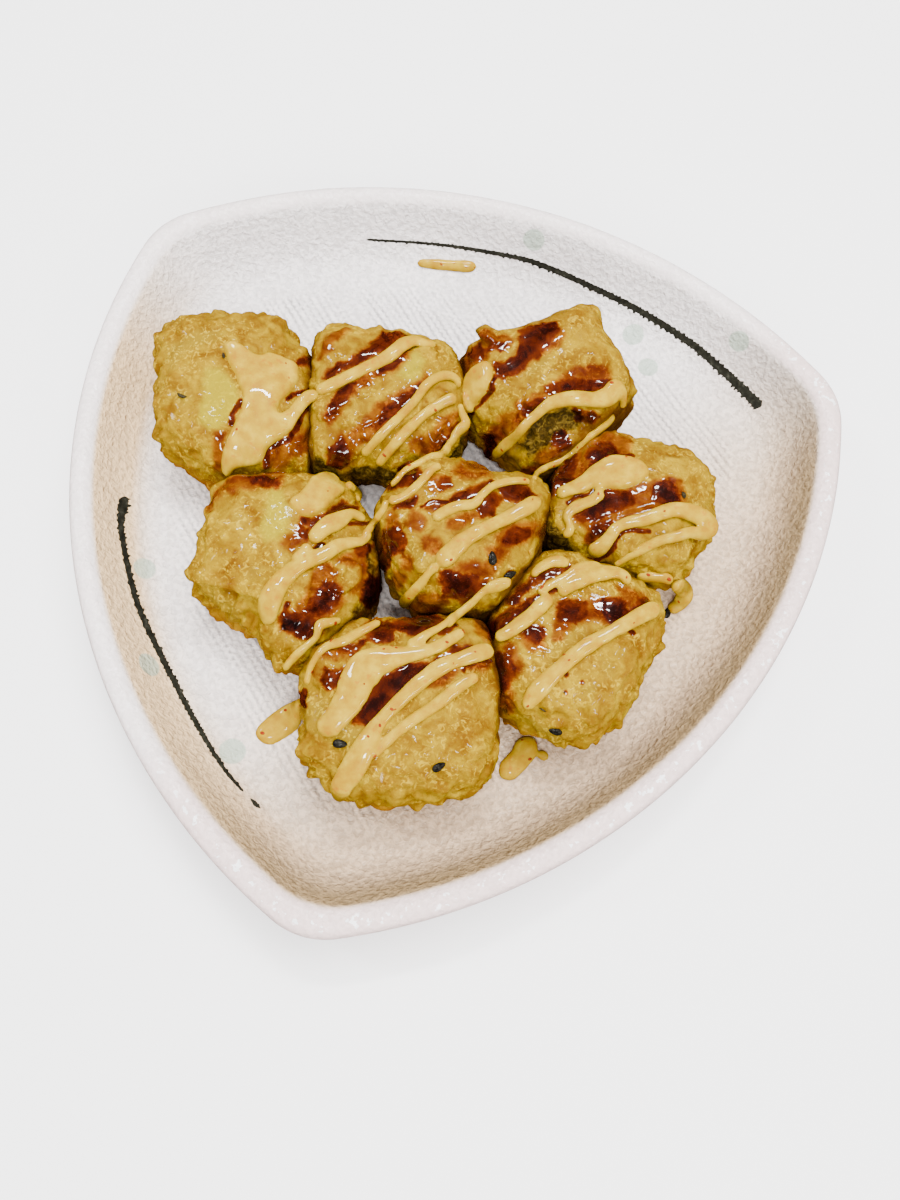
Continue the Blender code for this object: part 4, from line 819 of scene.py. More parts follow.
def add_layer(item, name, values):
    """Gives each of an object's points a number that its material reads."""
    layer = item.data.attributes.new(name, "FLOAT", "POINT")
    layer.data.foreach_set("value", values.astype(np.float32))


def face_outward(item):
    """Turns the faces of an object's closed parts outward."""
    shape = bmesh.new()
    shape.from_mesh(item.data)
    bmesh.ops.recalc_face_normals(shape, faces=shape.faces)
    shape.to_mesh(item.data)
    shape.free()


# Materials

class Graph:
    """A material's node tree, with one short call for each kind of node."""

    # Sockets of a mix node that blends colours
    FIRST_COLOUR = 6
    SECOND_COLOUR = 7
    MIXED_COLOUR = 2

    def __init__(self, name):
        self.material = bpy.data.materials.new(name)
        self.material.use_nodes = True
        self.tree = self.material.node_tree
        self.shader = self.tree.nodes["Principled BSDF"]
        self.place = self.add("ShaderNodeTexCoord").outputs["Object"]

    def add(self, kind, **settings):
        node = self.tree.nodes.new(kind)
        for key, value in settings.items():
            setattr(node, key, value)
        return node

    def put(self, socket, value):
        if isinstance(value, bpy.types.NodeSocket):
            self.tree.links.new(value, socket)
        elif isinstance(value, tuple) and len(value) == 3 and socket.type == "RGBA":
            socket.default_value = (*value, 1.0)
        else:
            socket.default_value = value

    def set(self, **values):
        for key, value in values.items():
            self.put(self.shader.inputs[key.replace("_", " ")], value)

    def axes(self):
        """The plan's X, Y and Z."""
        node = self.add("ShaderNodeSeparateXYZ")
        self.put(node.inputs[0], self.place)
        return tuple(node.outputs)

    def noise(self, size, detail=3.0, rough=0.55, warp=0.0):
        node = self.add("ShaderNodeTexNoise")
        self.put(node.inputs["Vector"], self.place)
        node.inputs["Scale"].default_value = 1 / size
        node.inputs["Detail"].default_value = detail
        node.inputs["Roughness"].default_value = rough
        node.inputs["Distortion"].default_value = warp
        return node.outputs["Fac"]

    def math(self, operation, first, second):
        node = self.add("ShaderNodeMath", operation=operation)
        self.put(node.inputs[0], first)
        self.put(node.inputs[1], second)
        return node.outputs["Value"]

    def times(self, first, second):
        return self.math("MULTIPLY", first, second)

    def plus(self, first, second):
        return self.math("ADD", first, second)

    def rest(self, value):
        """What a value leaves of one."""
        return self.math("SUBTRACT", 1.0, value)

    def span(self, value, low, high, start=0.0, stop=1.0):
        """Smooth step of a value from low..high to start..stop."""
        node = self.add("ShaderNodeMapRange", interpolation_type="SMOOTHSTEP")
        self.put(node.inputs["Value"], value)
        for key, number in (("From Min", low), ("From Max", high), ("To Min", start), ("To Max", stop)):
            node.inputs[key].default_value = number
        return node.outputs["Result"]

    def mix(self, share, first, second, blend="MIX"):
        node = self.add("ShaderNodeMix", data_type="RGBA", blend_type=blend)
        self.put(node.inputs["Factor"], share)
        self.put(node.inputs[self.FIRST_COLOUR], first)
        self.put(node.inputs[self.SECOND_COLOUR], second)
        return node.outputs[self.MIXED_COLOUR]

    def ramp(self, value, stops):
        node = self.add("ShaderNodeValToRGB")
        self.put(node.inputs["Fac"], value)
        points = node.color_ramp.elements
        while len(points) < len(stops):
            points.new(0.5)
        for point, (where, rgb) in zip(points, stops):
            point.position = where
            point.color = (*rgb, 1.0)
        return node.outputs["Color"]

    def attribute(self, name):
        return self.add("ShaderNodeAttribute", attribute_name=name).outputs["Fac"]

    def bump(self, height, depth, strength, before=None):
        node = self.add("ShaderNodeBump")
        self.put(node.inputs["Height"], height)
        self.put(node.inputs["Strength"], strength)
        node.inputs["Distance"].default_value = depth
        if before:
            self.put(node.inputs["Normal"], before)
        return node.outputs["Normal"]


# Colours: one, a pair from dark to light, or a ramp of places and colours
GOLDEN = [(0.30, (0.115, 0.045, 0.0002)), (0.43, (0.165, 0.082, 0.0002)),
          (0.56, (0.218, 0.127, 0.0002)), (0.70, (0.285, 0.178, 0.0004))]
PALE_SPECKS = (0.42, 0.275, 0.006)
BROWN_SPECKS = (0.125, 0.045, 0.0002)
# Painted highlight on the crust's crests and painted shade in its hollows
CREST_HIGHLIGHT = (0.34, 0.20, 0.001)
HOLLOW_SHADE = (0.12, 0.042, 0.0002)
WAXY = ((0.20, 0.125, 0.004), (0.44, 0.31, 0.02))
YELLOW = ((0.26, 0.195, 0.0001), (0.33, 0.250, 0.0003))
# Seaweed showing through, and painted shade on shaded flanks and in crevices
SEAWEED_AND_SHADE = [(0.34, (0.014, 0.0080, 0.0008)), (0.50, (0.040, 0.021, 0.0014)), (0.70, (0.125, 0.078, 0.008))]
# Painted shade: the lower sides are darkened towards orange-brown
LOW_SHADE_FILTER = (1.08, 0.71, 0.9)
# Painted shade in the creases between bites
CLEFT_SHADE = (0.058, 0.0145, 0.0012)
SAUCE_FILTER = [(0.0, (1, 1, 1)), (0.12, (0.84, 0.66, 0.4)), (0.26, (0.66, 0.36, 0.2)),
                (0.42, (0.46, 0.150, 0.15)), (0.60, (0.27, 0.058, 0.15)), (0.80, (0.15, 0.025, 0.2)),
                (1.0, (0.065, 0.012, 0.3))]
MAYO_CLOUDS = [(0.32, (0.305, 0.155, 0.0004)), (0.50, (0.355, 0.212, 0.0008)), (0.68, (0.43, 0.280, 0.010))]
OIL = (0.34, 0.115, 0.0005)
GLAZE = [(0.3, (0.80, 0.74, 0.725)), (0.7, (0.87, 0.81, 0.795))]
# Pink rim tint, laid on more strongly on the shady side as painted shade
RIM_TINT_AND_SHADE = (0.77, 0.60, 0.57)
# Painted shade on the outer side below the rim's top
OUTER_SHADE = (0.60, 0.46, 0.43)
# Painted highlights: small pale glint marks on the rim
GLINTS = (0.98, 0.97, 0.97)
# Painted warm bounce light on the low wall
WARM_BOUNCE_LIGHT = (0.81, 0.55, 0.28)
# Painted shade on the wall's shady side, tan from low to high
TAN_SHADE_LOW = (0.62, 0.44, 0.28)
TAN_SHADE_HIGH = (0.33, 0.225, 0.115)
DOT_TINT = (0.31, 0.40, 0.31)
PINPRICKS = (0.20, 0.16, 0.12)
PINPRICK_CELL = 7.0 * MM        # one pinprick in each such cell, and its radius as a share of the cell
PINPRICK_SHARE = 0.022
INK = [(0.35, (0.006, 0.006, 0.004)), (0.58, (0.016, 0.016, 0.011)), (0.74, (0.048, 0.048, 0.037))]
SEED_TONES = ((0.002, 0.0018, 0.0015), (0.016, 0.014, 0.010))
SCRAP_TONES = ((0.008, 0.006, 0.003), (0.04, 0.03, 0.01))
CHILI_TONES = ((0.17, 0.009, 0.0003), (0.23, 0.035, 0.0005))


def batter_material():
    """Fried batter: golden with pale specks, and where sauce lies, amber to nearly black and glossy."""
    g = Graph("batter")
    tone = g.noise(4.6 * MM, detail=4, warp=0.8)
    golden = g.ramp(tone, GOLDEN)
    streaks = g.noise(1.5 * MM, warp=1.6)
    specks = g.span(streaks, 0.52, 0.66)
    patches = g.span(g.noise(7.5 * MM, detail=2), 0.34, 0.58)
    golden = g.mix(g.times(specks, g.times(patches, 0.75)), golden, PALE_SPECKS)
    golden = g.mix(g.span(streaks, 0.42, 0.30, 0.0, 0.5), golden, BROWN_SPECKS)
    high = g.attribute("high")
    # Painted light and shade: the crust is lightened on its crests and darkened in its hollows
    golden = g.mix(g.span(high, 0.2, 1.0, 0.0, 0.30), golden, CREST_HIGHLIGHT)
    golden = g.mix(g.span(high, -0.1, -0.9, 0.0, 0.60), golden, HOLLOW_SHADE)
    ragged = g.times(g.plus(g.noise(1.9 * MM, rough=0.6), -0.5), 2.2)
    settled = g.plus(ragged, g.times(high, -0.35))

    def shown(kind, edge, *steps):
        """How strongly an area shows, with its edge made uneven."""
        return g.span(g.plus(g.attribute(kind), edge), *steps)

    golden = g.mix(g.times(shown("waxy", ragged, -1.4, 2.4), 0.75), golden, g.mix(specks, *WAXY))
    golden = g.mix(g.times(shown("yellow", ragged, -1.2, 1.6), 0.92), golden, g.mix(specks, *YELLOW))
    # The "dark" areas: seaweed showing through, and painted shade on shaded flanks and in crevices between
    # bites
    dark = shown("dark", ragged, -0.6, 0.6)
    golden = g.mix(dark, golden, g.ramp(streaks, SEAWEED_AND_SHADE))
    _, _, z = g.axes()
    # Painted shade: the batter darkens towards orange-brown on its lower sides
    golden = g.mix(g.span(z, 25 * MM, 12 * MM), golden, LOW_SHADE_FILTER, "MULTIPLY")
    # Painted shade: the batter darkens to deep brown near the seams with its neighbours, where shade falls
    golden = g.mix(shown("cleft", settled, 3.3, 0.5, 0.0, 0.88), golden, CLEFT_SHADE)

    thin = shown("amber", settled, -1.6, 0.5, 0.0, 0.38)
    deep = g.plus(g.attribute("deep"), settled)
    thick = g.plus(thin, g.span(deep, -1.1, -0.1, 0.0, 0.34))
    thick = g.plus(thick, g.span(deep, 0.2, 2.2, 0.0, 0.24))
    thick = g.times(thick, g.span(tone, 0.30, 0.66, 1.15, 0.80))
    golden = g.mix(1.0, golden, g.ramp(thick, SAUCE_FILTER), "MULTIPLY")
    pooled = g.times(g.span(thick, 0.10, 0.30, 0.18, 1.0), g.rest(dark))

    roughness = g.span(g.noise(5 * MM), 0.35, 0.65, 0.45, 0.60)
    calm = g.rest(g.times(pooled, 0.9))
    grain = g.bump(g.noise(0.9 * MM, rough=0.5, warp=0.8), 0.28 * MM, g.times(calm, 0.9))
    blisters = g.bump(g.noise(2.2 * MM, detail=2), 0.5 * MM, g.times(calm, 0.5), grain)
    g.set(Base_Color=golden, Roughness=roughness, Normal=blisters, Subsurface_Weight=0.10,
          Subsurface_Scale=1.6 * MM, Subsurface_Radius=(1.0, 0.55, 0.15), IOR=1.45,
          Specular_IOR_Level=0.06, Coat_Weight=pooled, Coat_Roughness=0.07, Coat_IOR=1.5)
    return g.material


def mayo_material():
    """Spicy mayonnaise: glossy, in clouds of warm yellow, with spots of orange oil."""
    g = Graph("mayo")
    clouds = g.noise(3.2 * MM)
    oil = g.span(g.noise(1.9 * MM, rough=0.6), 0.58, 0.70)
    colour = g.mix(g.times(oil, 0.6), g.ramp(clouds, MAYO_CLOUDS), OIL)
    skin = g.bump(g.noise(1.5 * MM, detail=2), 0.12 * MM, 0.35)
    g.set(Base_Color=colour, Roughness=g.span(clouds, 0.3, 0.7, 0.42, 0.52), Normal=skin,
          Subsurface_Weight=0.25, Subsurface_Scale=1.5 * MM, Subsurface_Radius=(1.0, 0.6, 0.2), IOR=1.45,
          Specular_IOR_Level=0.12, Coat_Weight=0.7, Coat_Roughness=0.05, Coat_IOR=1.5)
    return g.material


def speck_material(name, tones, roughness, size):
    """A small solid scrap, mottled between two colours."""
    g = Graph(name)
    tone = g.noise(size)
    dark, light = tones
    g.set(Base_Color=g.ramp(tone, [(0.35, dark), (0.68, light)]), Roughness=roughness,
          Normal=g.bump(tone, 0.08 * MM, 0.6), Specular_IOR_Level=0.15)
    return g.material


def dish_material(dots):
    """Off-white satin glaze with an orange-peel skin, few dark pinpricks and pale grey-green dots.

    The low wall carries painted warm bounce light towards the front and painted tan shade on its shady side.
    Painted shade lies in the peel's hollows and the floor's rib grooves. The rim is tinted, with painted
    shade on its shady and outer sides, and has small painted glints.
    """
    g = Graph("dish")
    x, y, z = g.axes()
    cloud = g.noise(26 * MM)
    white = g.ramp(cloud, GLAZE)
    shady = g.span(g.plus(g.times(x, 0.8), g.times(y, -0.6)), -5 * MM, 62 * MM)
    inside = g.attribute("inside")
    below_rim = g.times(g.span(z, 22.3 * MM, 23.8 * MM, 1.0, 0.0), inside)
    # The rim is tinted pink: at a quarter strength on its lit side and at full strength on its shady side,
    # where the extra is painted shade
    rim = g.times(g.rest(below_rim), g.span(shady, 0.0, 0.6, 0.25, 1.0))
    white = g.mix(rim, white, RIM_TINT_AND_SHADE)
    # Painted shade: the outside below the rim's top is darkened where it turns away from the light
    outer = g.times(g.rest(inside), g.span(z, 24.4 * MM, 22.6 * MM, 0.0, 0.8))
    white = g.mix(outer, white, OUTER_SHADE)
    # Painted highlights: small pale glint marks along the rim's top
    glint = g.times(g.span(g.noise(1.7 * MM, detail=2), 0.60, 0.64), rim)
    glint = g.times(glint, g.span(z, 24.0 * MM, 24.4 * MM))
    white = g.mix(glint, white, GLINTS)
    # Painted warm bounce light on the low wall, stronger towards the front
    warm_bounce_light = g.times(g.span(z, 7.2 * MM, 12.4 * MM), below_rim)
    warm_bounce_light = g.times(warm_bounce_light, g.span(y, 60 * MM, 10 * MM))
    white = g.mix(g.times(warm_bounce_light, 0.95), white, WARM_BOUNCE_LIGHT)
    # Painted shade: the wall below the rim turns tan on its shady side
    tan = g.mix(g.span(z, 8.6 * MM, 21 * MM), TAN_SHADE_LOW, TAN_SHADE_HIGH)
    white = g.mix(g.times(shady, below_rim), white, tan)

    peel = g.noise(1.3 * MM, detail=2, rough=0.5, warp=0.4)
    # Painted shade in the hollows of the orange-peel skin, a little stronger on the shady side
    peel_shade = g.times(g.span(peel, 0.62, 0.38), g.span(shady, 0.0, 1.0, 0.20, 0.27))
    peel_shade = g.times(peel_shade, g.span(below_rim, 0.0, 1.0, 0.4, 1.0))
    # Painted shade in the floor's rib grooves, with the ridges painted a little lighter
    groove = g.span(g.attribute("groove"), -0.4, 1.1, 1.04, 0.50)
    white = g.mix(1.0, white, g.times(g.rest(peel_shade), groove), "MULTIPLY")
    waver = g.times(g.noise(3 * MM), 0.5 * MM)
    for place, width in dots:
        length = g.add("ShaderNodeVectorMath", operation="DISTANCE")
        g.put(length.inputs[0], g.place)
        length.inputs[1].default_value = place
        reach = g.plus(length.outputs["Value"], waver)
        dot = g.span(reach, width / 2 + 0.4 * MM, width / 2 - 0.1 * MM, 0.0, 0.75)
        white = g.mix(dot, white, DOT_TINT)
    cells = g.add("ShaderNodeTexVoronoi")
    g.put(cells.inputs["Vector"], g.place)
    cells.inputs["Scale"].default_value = 1 / PINPRICK_CELL
    pinprick = g.math("LESS_THAN", cells.outputs["Distance"], PINPRICK_SHARE)
    white = g.mix(g.times(pinprick, 0.6), white, PINPRICKS)

    skin = g.bump(peel, 0.8 * MM, g.span(below_rim, 0.0, 1.0, 0.45, 1.0))
    waves = g.bump(g.noise(3.2 * MM, detail=2), 0.7 * MM, 0.5, skin)
    g.set(Base_Color=white, Roughness=g.span(cloud, 0.3, 0.7, 0.22, 0.30), Normal=waves)
    return g.material


def ink_material():
    """Dark brushwork under the glaze, with the brush's fine streaks."""
    g = Graph("ink")
    tone = g.noise(1.4 * MM, detail=4, rough=0.65)
    g.set(Base_Color=g.ramp(tone, INK), Roughness=0.5, Normal=g.bump(tone, 0.1 * MM, 0.5),
          Specular_IOR_Level=0.2)
    return g.material


# Dish

def dish_ring(scale):
    """Rounded three-cornered outline, scaled about the dish's centre, with the front corner on -Y."""
    scale = float(scale)
    corner_share = min(max((scale - FLOOR_SCALE) / (1 - FLOOR_SCALE), 0.0), 1.0)
    radius = FLOOR_CORNER_RADIUS + (CORNER_RADIUS - FLOOR_CORNER_RADIUS) * corner_share
    radius *= min(scale / FLOOR_SCALE, 1.0)
    reach = CORNER_REACH * scale - radius
    inner = SIDE_REACH * scale - radius
    arc_offset = (reach ** 2 - inner ** 2) / (2 * inner - reach)
    arc_radius = arc_offset + SIDE_REACH * scale
    tip = Vector((reach * math.cos(SIXTH), reach * math.sin(SIXTH)))
    half = math.atan2(tip.y, arc_offset + tip.x)
    side = []
    for step in range(SIDE_STEPS):
        angle = -half + 2 * half * step / SIDE_STEPS
        side.append(Vector((arc_radius * math.cos(angle) - arc_offset, arc_radius * math.sin(angle))))
    for step in range(CORNER_STEPS):
        angle = half + (2 * SIXTH - 2 * half) * step / CORNER_STEPS
        side.append(tip + radius * Vector((math.cos(angle), math.sin(angle))))
    turns = [Matrix.Rotation(math.radians(90 + 120 * turn), 2) for turn in range(3)]
    return np.array([tuple(turn @ point) for turn in turns for point in side])


def floor_height(points):
    """Height of the dish's floor with its ribs, which fade towards the floor's edge, and its grooves."""
    across = points @ np.array([-math.sin(RIB_TURN), math.cos(RIB_TURN)])
    along = points @ np.array([math.cos(RIB_TURN), math.sin(RIB_TURN)])
    level = np.zeros(len(points))
    flat = np.stack([across, along * 0.25, level], axis=-1)
    stray = fine_noise(flat, 4 * MM, 81) * RIB_STRAY
    strength = np.clip(0.75 + 1.1 * fine_noise(flat, 5 * MM, 82), 0.0, 1.5)
    ribs = np.cos(2 * math.pi * (across + stray) / RIB_PITCH) * strength
    lumps = fine_noise(np.column_stack([points, level]), FLOOR_LUMP_SIZE, 83) * FLOOR_LUMP_DEPTH
    fade = ease(np.clip(area_depth(points, dish_ring(FLOOR_PATCH_SCALE)) / FLOOR_FADE, 0, 1))
    edge_height = DISH_PROFILE[0][1] * MM
    centre_drop = (FLOOR_HEIGHT - edge_height) * fade
    return edge_height + centre_drop + (ribs * RIB_DEPTH + lumps) * fade, -ribs * fade


def floor_patch():
    """Points, triangles and grooves of the ribbed floor; its first points are the inner ring of the wall."""
    ring = dish_ring(FLOOR_PATCH_SCALE)
    reach = (np.abs(ring).max() + 2 * MM) * 1.3
    across = np.arange(-reach, reach, RIB_ACROSS)
    along = np.arange(-reach, reach, RIB_ALONG)
    u, v = np.meshgrid(along, across)
    u = u + (np.arange(len(across)) % 2)[:, None] * RIB_ALONG / 2
    x = u * math.cos(RIB_TURN) - v * math.sin(RIB_TURN)
    y = u * math.sin(RIB_TURN) + v * math.cos(RIB_TURN)
    inner = np.stack([x.ravel(), y.ravel()], axis=-1)
    points, faces = fill_ring(ring, inner[area_depth(inner, ring) > FLOOR_CLEARANCE])
    heights, grooves = floor_height(points)
    return np.column_stack([points, heights]), faces, len(ring), grooves


def smooth_profile():
    """Rings between the profile's points, on a smooth curve that keeps the foot ring's edges."""
    knots = np.array(DISH_PROFILE)
    last = len(knots) - 1
    rings = []
    for index in range(last):
        around = [knots[min(max(place, 0), last)] for place in range(index - 1, index + 3)]
        start, stop = around[1:3]
        straight = start[0] < FOOT_SCALE and index > last / 2
        for share in np.linspace(0, 1, PROFILE_STEPS, endpoint=False):
            rings.append(start + (stop - start) * share if straight else curve_point(*around, share))
    rings.append(knots[last])
    return rings


def make_dish():
    """One closed mesh: the ribbed floor, the wall, the rim, and the underside down to its middle."""
    floor, faces, count, grooves = floor_patch()
    points = list(floor)
    faces = [tuple(face) for face in faces]
    rows = [list(range(count))]
    for scale, height in smooth_profile()[1:]:
        ring = np.column_stack([dish_ring(scale), np.full(count, height * MM)])
        rows.append(list(range(len(points), len(points) + count)))
        if height * MM > EVEN_HEIGHT:
            ring[:, 2] += sum(fine_noise(ring, size, seed) * depth for size, seed, depth in GLAZE_WAVES)
        points.extend(ring)
    points.append((0, 0, UNDERSIDE_HEIGHT))
    around = closed_pairs(count)
    for inner, outer in zip(rows[:-1], rows[1:]):
        faces.extend((inner[step], outer[step], outer[after], inner[after]) for step, after in around)
    faces.extend((len(points) - 1, rows[-1][after], rows[-1][step]) for step, after in around)
    item = mesh_object("dish_glazed", points, faces)
    add_layer(item, "groove", np.pad(grooves, (0, len(points) - len(grooves))))
    inside = np.zeros(len(points))
    inside[:len(floor) + INNER_RINGS * count] = 1
    add_layer(item, "inside", inside)
    face_outward(item)
    return item


# Bites

def outline_reach(outline, middle, directions):
    """Distance from middle to a closed outline along each direction."""
    starts = outline - middle
    edges = np.roll(starts, -1, axis=0) - starts
    reach = np.zeros(len(directions))
    for index, (dx, dy) in enumerate(directions):
        cross = dx * edges[:, 1] - dy * edges[:, 0]
        cross = np.where(np.abs(cross) < SLIVER, SLIVER, cross)
        along = (starts[:, 0] * edges[:, 1] - starts[:, 1] * edges[:, 0]) / cross
        share = (starts[:, 0] * dy - starts[:, 1] * dx) / cross
        hits = along[(share >= 0) & (share <= 1) & (along > 0)]
        reach[index] = hits.max() if len(hits) else 0.0
    return reach


class Bite:
    """A battered slice: a rounded body, star-shaped about its centre, that fits its outline from the eye."""

    def __init__(self, name, spec):
        self.name = name
        self.spec = spec
        self.square = spec["square"]
        self.lean_angle = math.radians(spec["lean"][0])
        self.lean = spec["lean"][1]
        self.planes = []
        outline = np.array(spec["outline"]) * MM
        self.seen_middle = (outline.max(axis=0) + outline.min(axis=0)) / 2
        height = FLOOR_HEIGHT + BODY_MIDDLE
        spread = (EYE.z - height) / (EYE.z - SIGHT_LEVEL)
        plan = np.array(EYE.xy) + (self.seen_middle - np.array(EYE.xy)) * spread
        self.centre = np.array([plan[0], plan[1], height])
        self.up = spec["top"] * MM - BODY_MIDDLE
        self.down = BODY_MIDDLE - GAP
        self.angles = full_turn(PLAN_STEPS)
        self.fit_plan(outline)

    def fit_plan(self, outline):
        """Grows or shrinks the plan in each direction until the body's silhouette lies on its outline."""
        self.plan = outline_reach(outline, self.seen_middle, unit(self.angles)) * 0.9
        turns, climbs = np.meshgrid(self.angles, FIT_CLIMBS)
        around = sphere(turns.ravel(), climbs.ravel())
        for _ in range(FIT_ROUNDS):
            points = self.centre + around * self.smooth_radius(around)[:, None]
            flat = seen_on_level(points, SIGHT_LEVEL) - self.seen_middle
            length = np.linalg.norm(flat, axis=1)
            target = outline_reach(outline, self.seen_middle, flat / length[:, None])
            share = (length / target).reshape(turns.shape).max(axis=0)
            share = (np.roll(share, 1) + 2 * share + np.roll(share, -1)) / 4
            self.plan = self.plan / share ** 0.8

    def smooth_radius(self, around):
        """Radius of the plain rounded body along unit vectors."""
        turn = np.arctan2(around[:, 1], around[:, 0])
        level = np.hypot(around[:, 0], around[:, 1])
        plan = np.interp(turn % (2 * math.pi), self.angles, self.plan, period=2 * math.pi)
        up = self.up * (1 + self.lean * np.cos(turn - self.lean_angle) * level)
        half = np.where(around[:, 2] > 0, up, self.down)
        power = self.square
        return ((level / plan) ** power + (np.abs(around[:, 2]) / half) ** power) ** (-1 / power)

    def limits(self, around):
        """Distances along unit vectors to the wandering seams with the neighbours."""
        found = []
        for normal, distance, side in self.planes:
            facing = around @ normal
            limit = np.where(facing > TINY, distance / np.maximum(facing, TINY), FAR)
            near = np.flatnonzero(limit < 2 * self.plan.max())
            place = self.centre + around[near] * limit[near, None]
            wave = 0.7 * fine_noise(place, 7 * MM, 51) + 0.35 * fine_noise(place, 2.6 * MM, 57)
            limit[near] += side * wave * SEAM_WAVE / np.maximum(facing[near], 0.3)
            found.append(limit)
        return found

    def pressed(self, around, radius, limits):
        """Pressed flat at the floor and against the neighbours."""
        for limit in limits:
            radius = (radius ** -CLIP_SOFTNESS + limit ** -CLIP_SOFTNESS) ** (-1 / CLIP_SOFTNESS)
        limit = np.where(around[:, 2] < -TINY, self.down / np.maximum(-around[:, 2], TINY), FAR)
        return np.minimum(radius, limit)

    def press_at(self, normal, level_distance, side):
        """Keeps the body behind an upright plane, given by its normal and distance from the plan's middle."""
        self.planes.append((normal, level_distance - self.centre @ normal + OVERLAP, side))

    def coat(self, around):
        """Points of the battered surface, and how each is coloured."""
        radius = self.smooth_radius(around)
        limits = self.limits(around)
        base = self.centre + around * radius[:, None]
        radius = radius + noise_at(base, LUMP_SIZE) * LUMP_DEPTH + noise_at(base, KNOB_SIZE) * KNOB_DEPTH
        base = self.centre + around * self.pressed(around, radius, limits)[:, None]
        cleft = np.min(limits, axis=0) - np.linalg.norm(base - self.centre, axis=1)

        waver = np.stack([fine_noise(base, AREA_WAVER_SIZE, seed) for seed in (11, 17)], axis=-1)
        seen = seen_on_level(base, SIGHT_LEVEL) + waver * AREA_WAVER
        towards = normalised(np.array(EYE) - base)
        facing = np.clip((np.sum(around * towards, axis=1) + 0.15) * 5, 0, 1)

        def deepest(kind, measure):
            found = np.full(len(base), OUTSIDE)
            for item in self.spec[kind]:
                found = np.maximum(found, measure(seen, item))
            return found * facing + OUTSIDE * (1 - facing)

        areas = {kind: deepest(kind, lambda points, item: area_depth(points, np.array(item) * MM))
                 for kind in ("amber", "deep", "yellow", "dark", "waxy")}
        # Thin runs of thick sauce; some lie along the lower edges of mayonnaise strands as painted shadow
        areas["deep"] = np.maximum(areas["deep"], deepest("edges", line_depth) * EDGE_STRENGTH)
        areas["amber"] = np.maximum(areas["amber"], areas["deep"])
        wet = np.clip(areas["deep"] / (0.7 * MM) + 0.5, 0, 1) * 0.7
        wet = wet + np.clip(areas["amber"] / MM + 0.5, 0, 1) * 0.3

        pebbles = domes_at(base, PEBBLE_SIZE, 20)
        grain = domes_at(base, GRAIN_SIZE, 30)
        skirt = np.clip(1.2 - np.abs(around[:, 2] - 0.05) / 0.7, 0, 1)
        frill = (2.6 * np.abs(fine_noise(base, FRILL_SIZE, 21)) - 0.7) * skirt
        curl = np.clip(fine_noise(base, FRILL_SIZE * 0.6, 23) - 0.45, 0, 1) * 3.0 * skirt
        crisp = np.clip(0.6 + 0.6 * fine_noise(base, 7 * MM, 61) + 0.4 * skirt, 0.2, 1.3)
        billow = 2.2 * np.abs(fine_noise(base, PEBBLE_SIZE * 1.2, 71)) - 0.7
        relief = (pebbles * 0.55 + billow * 0.6) * PEBBLE_DEPTH + grain * GRAIN_DEPTH
        relief = relief * crisp * (1 - 0.8 * wet) + (frill + curl) * FRILL_DEPTH
        relief = relief + wet * SAUCE_DEPTH
        for line, height in self.spec["ridges"]:
            shape = np.clip(1 + line_depth(seen, line) / RIDGE_SLOPE, 0, 1)
            relief = relief + height * MM * ease(shape) * facing
        high = np.clip((pebbles * 0.3 + billow * 0.5) * crisp + noise_at(base, KNOB_SIZE) * 0.8, -1, 1)
        radius = self.pressed(around, radius + relief, limits)
        points = self.centre + around * radius[:, None]
        colours = {kind: depth / MM for kind, depth in areas.items()}
        colours["high"] = high
        colours["cleft"] = np.clip(cleft / MM, 0, 20)
        return points, colours


def cube_sphere(grid):
    """Unit vectors and faces of a cube whose sides have grid by grid squares, blown up to a sphere."""
    steps = np.tan(np.linspace(-1, 1, grid + 1) * math.pi / 4)
    found = {}
    vectors = []
    faces = []

    def corner(side, i, j):
        across, up, out = CUBE_SIDES[side]
        vector = np.array(out) + steps[i] * np.array(across) + steps[j] * np.array(up)
        key = tuple(np.round(vector, 6) + 0.0)
        if key not in found:
            found[key] = len(vectors)
            vectors.append(vector / np.linalg.norm(vector))
        return found[key]

    for side in range(len(CUBE_SIDES)):
        for i in range(grid):
            for j in range(grid):
                faces.append((corner(side, i, j), corner(side, i + 1, j), corner(side, i + 1, j + 1),
                              corner(side, i, j + 1)))
    return np.array(vectors), faces


def press_together(bites):
    """Gives each two neighbours the upright plane between them."""
    spread = (EYE.z - CREASE_LEVEL) / (EYE.z - SIGHT_LEVEL)
    eye = np.array(EYE.xy)
    for name, other, start, stop in CREASES:
        start, stop = (eye + (np.array(point) * MM - eye) * spread for point in (start, stop))
        along = (stop - start) / np.linalg.norm(stop - start)
        normal = np.array([along[1], -along[0], 0])
        distance = start @ normal[:2]
        side = 1 if bites[name].centre @ normal < distance else -1
        bites[name].press_at(side * normal, side * distance, side)
        bites[other].press_at(-side * normal, -side * distance, -side)


def make_bites():
    bites = {name: Bite(name, spec) for name, spec in BITES.items()}
    press_together(bites)
    around, faces = cube_sphere(BODY_GRID)
    items = {}
    for bite in bites.values():
        points, colours = bite.coat(around)
        item = mesh_object(bite.name + "_battered", points, faces)
        for key, values in colours.items():
            add_layer(item, key, values)
        items[bite.name] = item
    return items


# Toppings

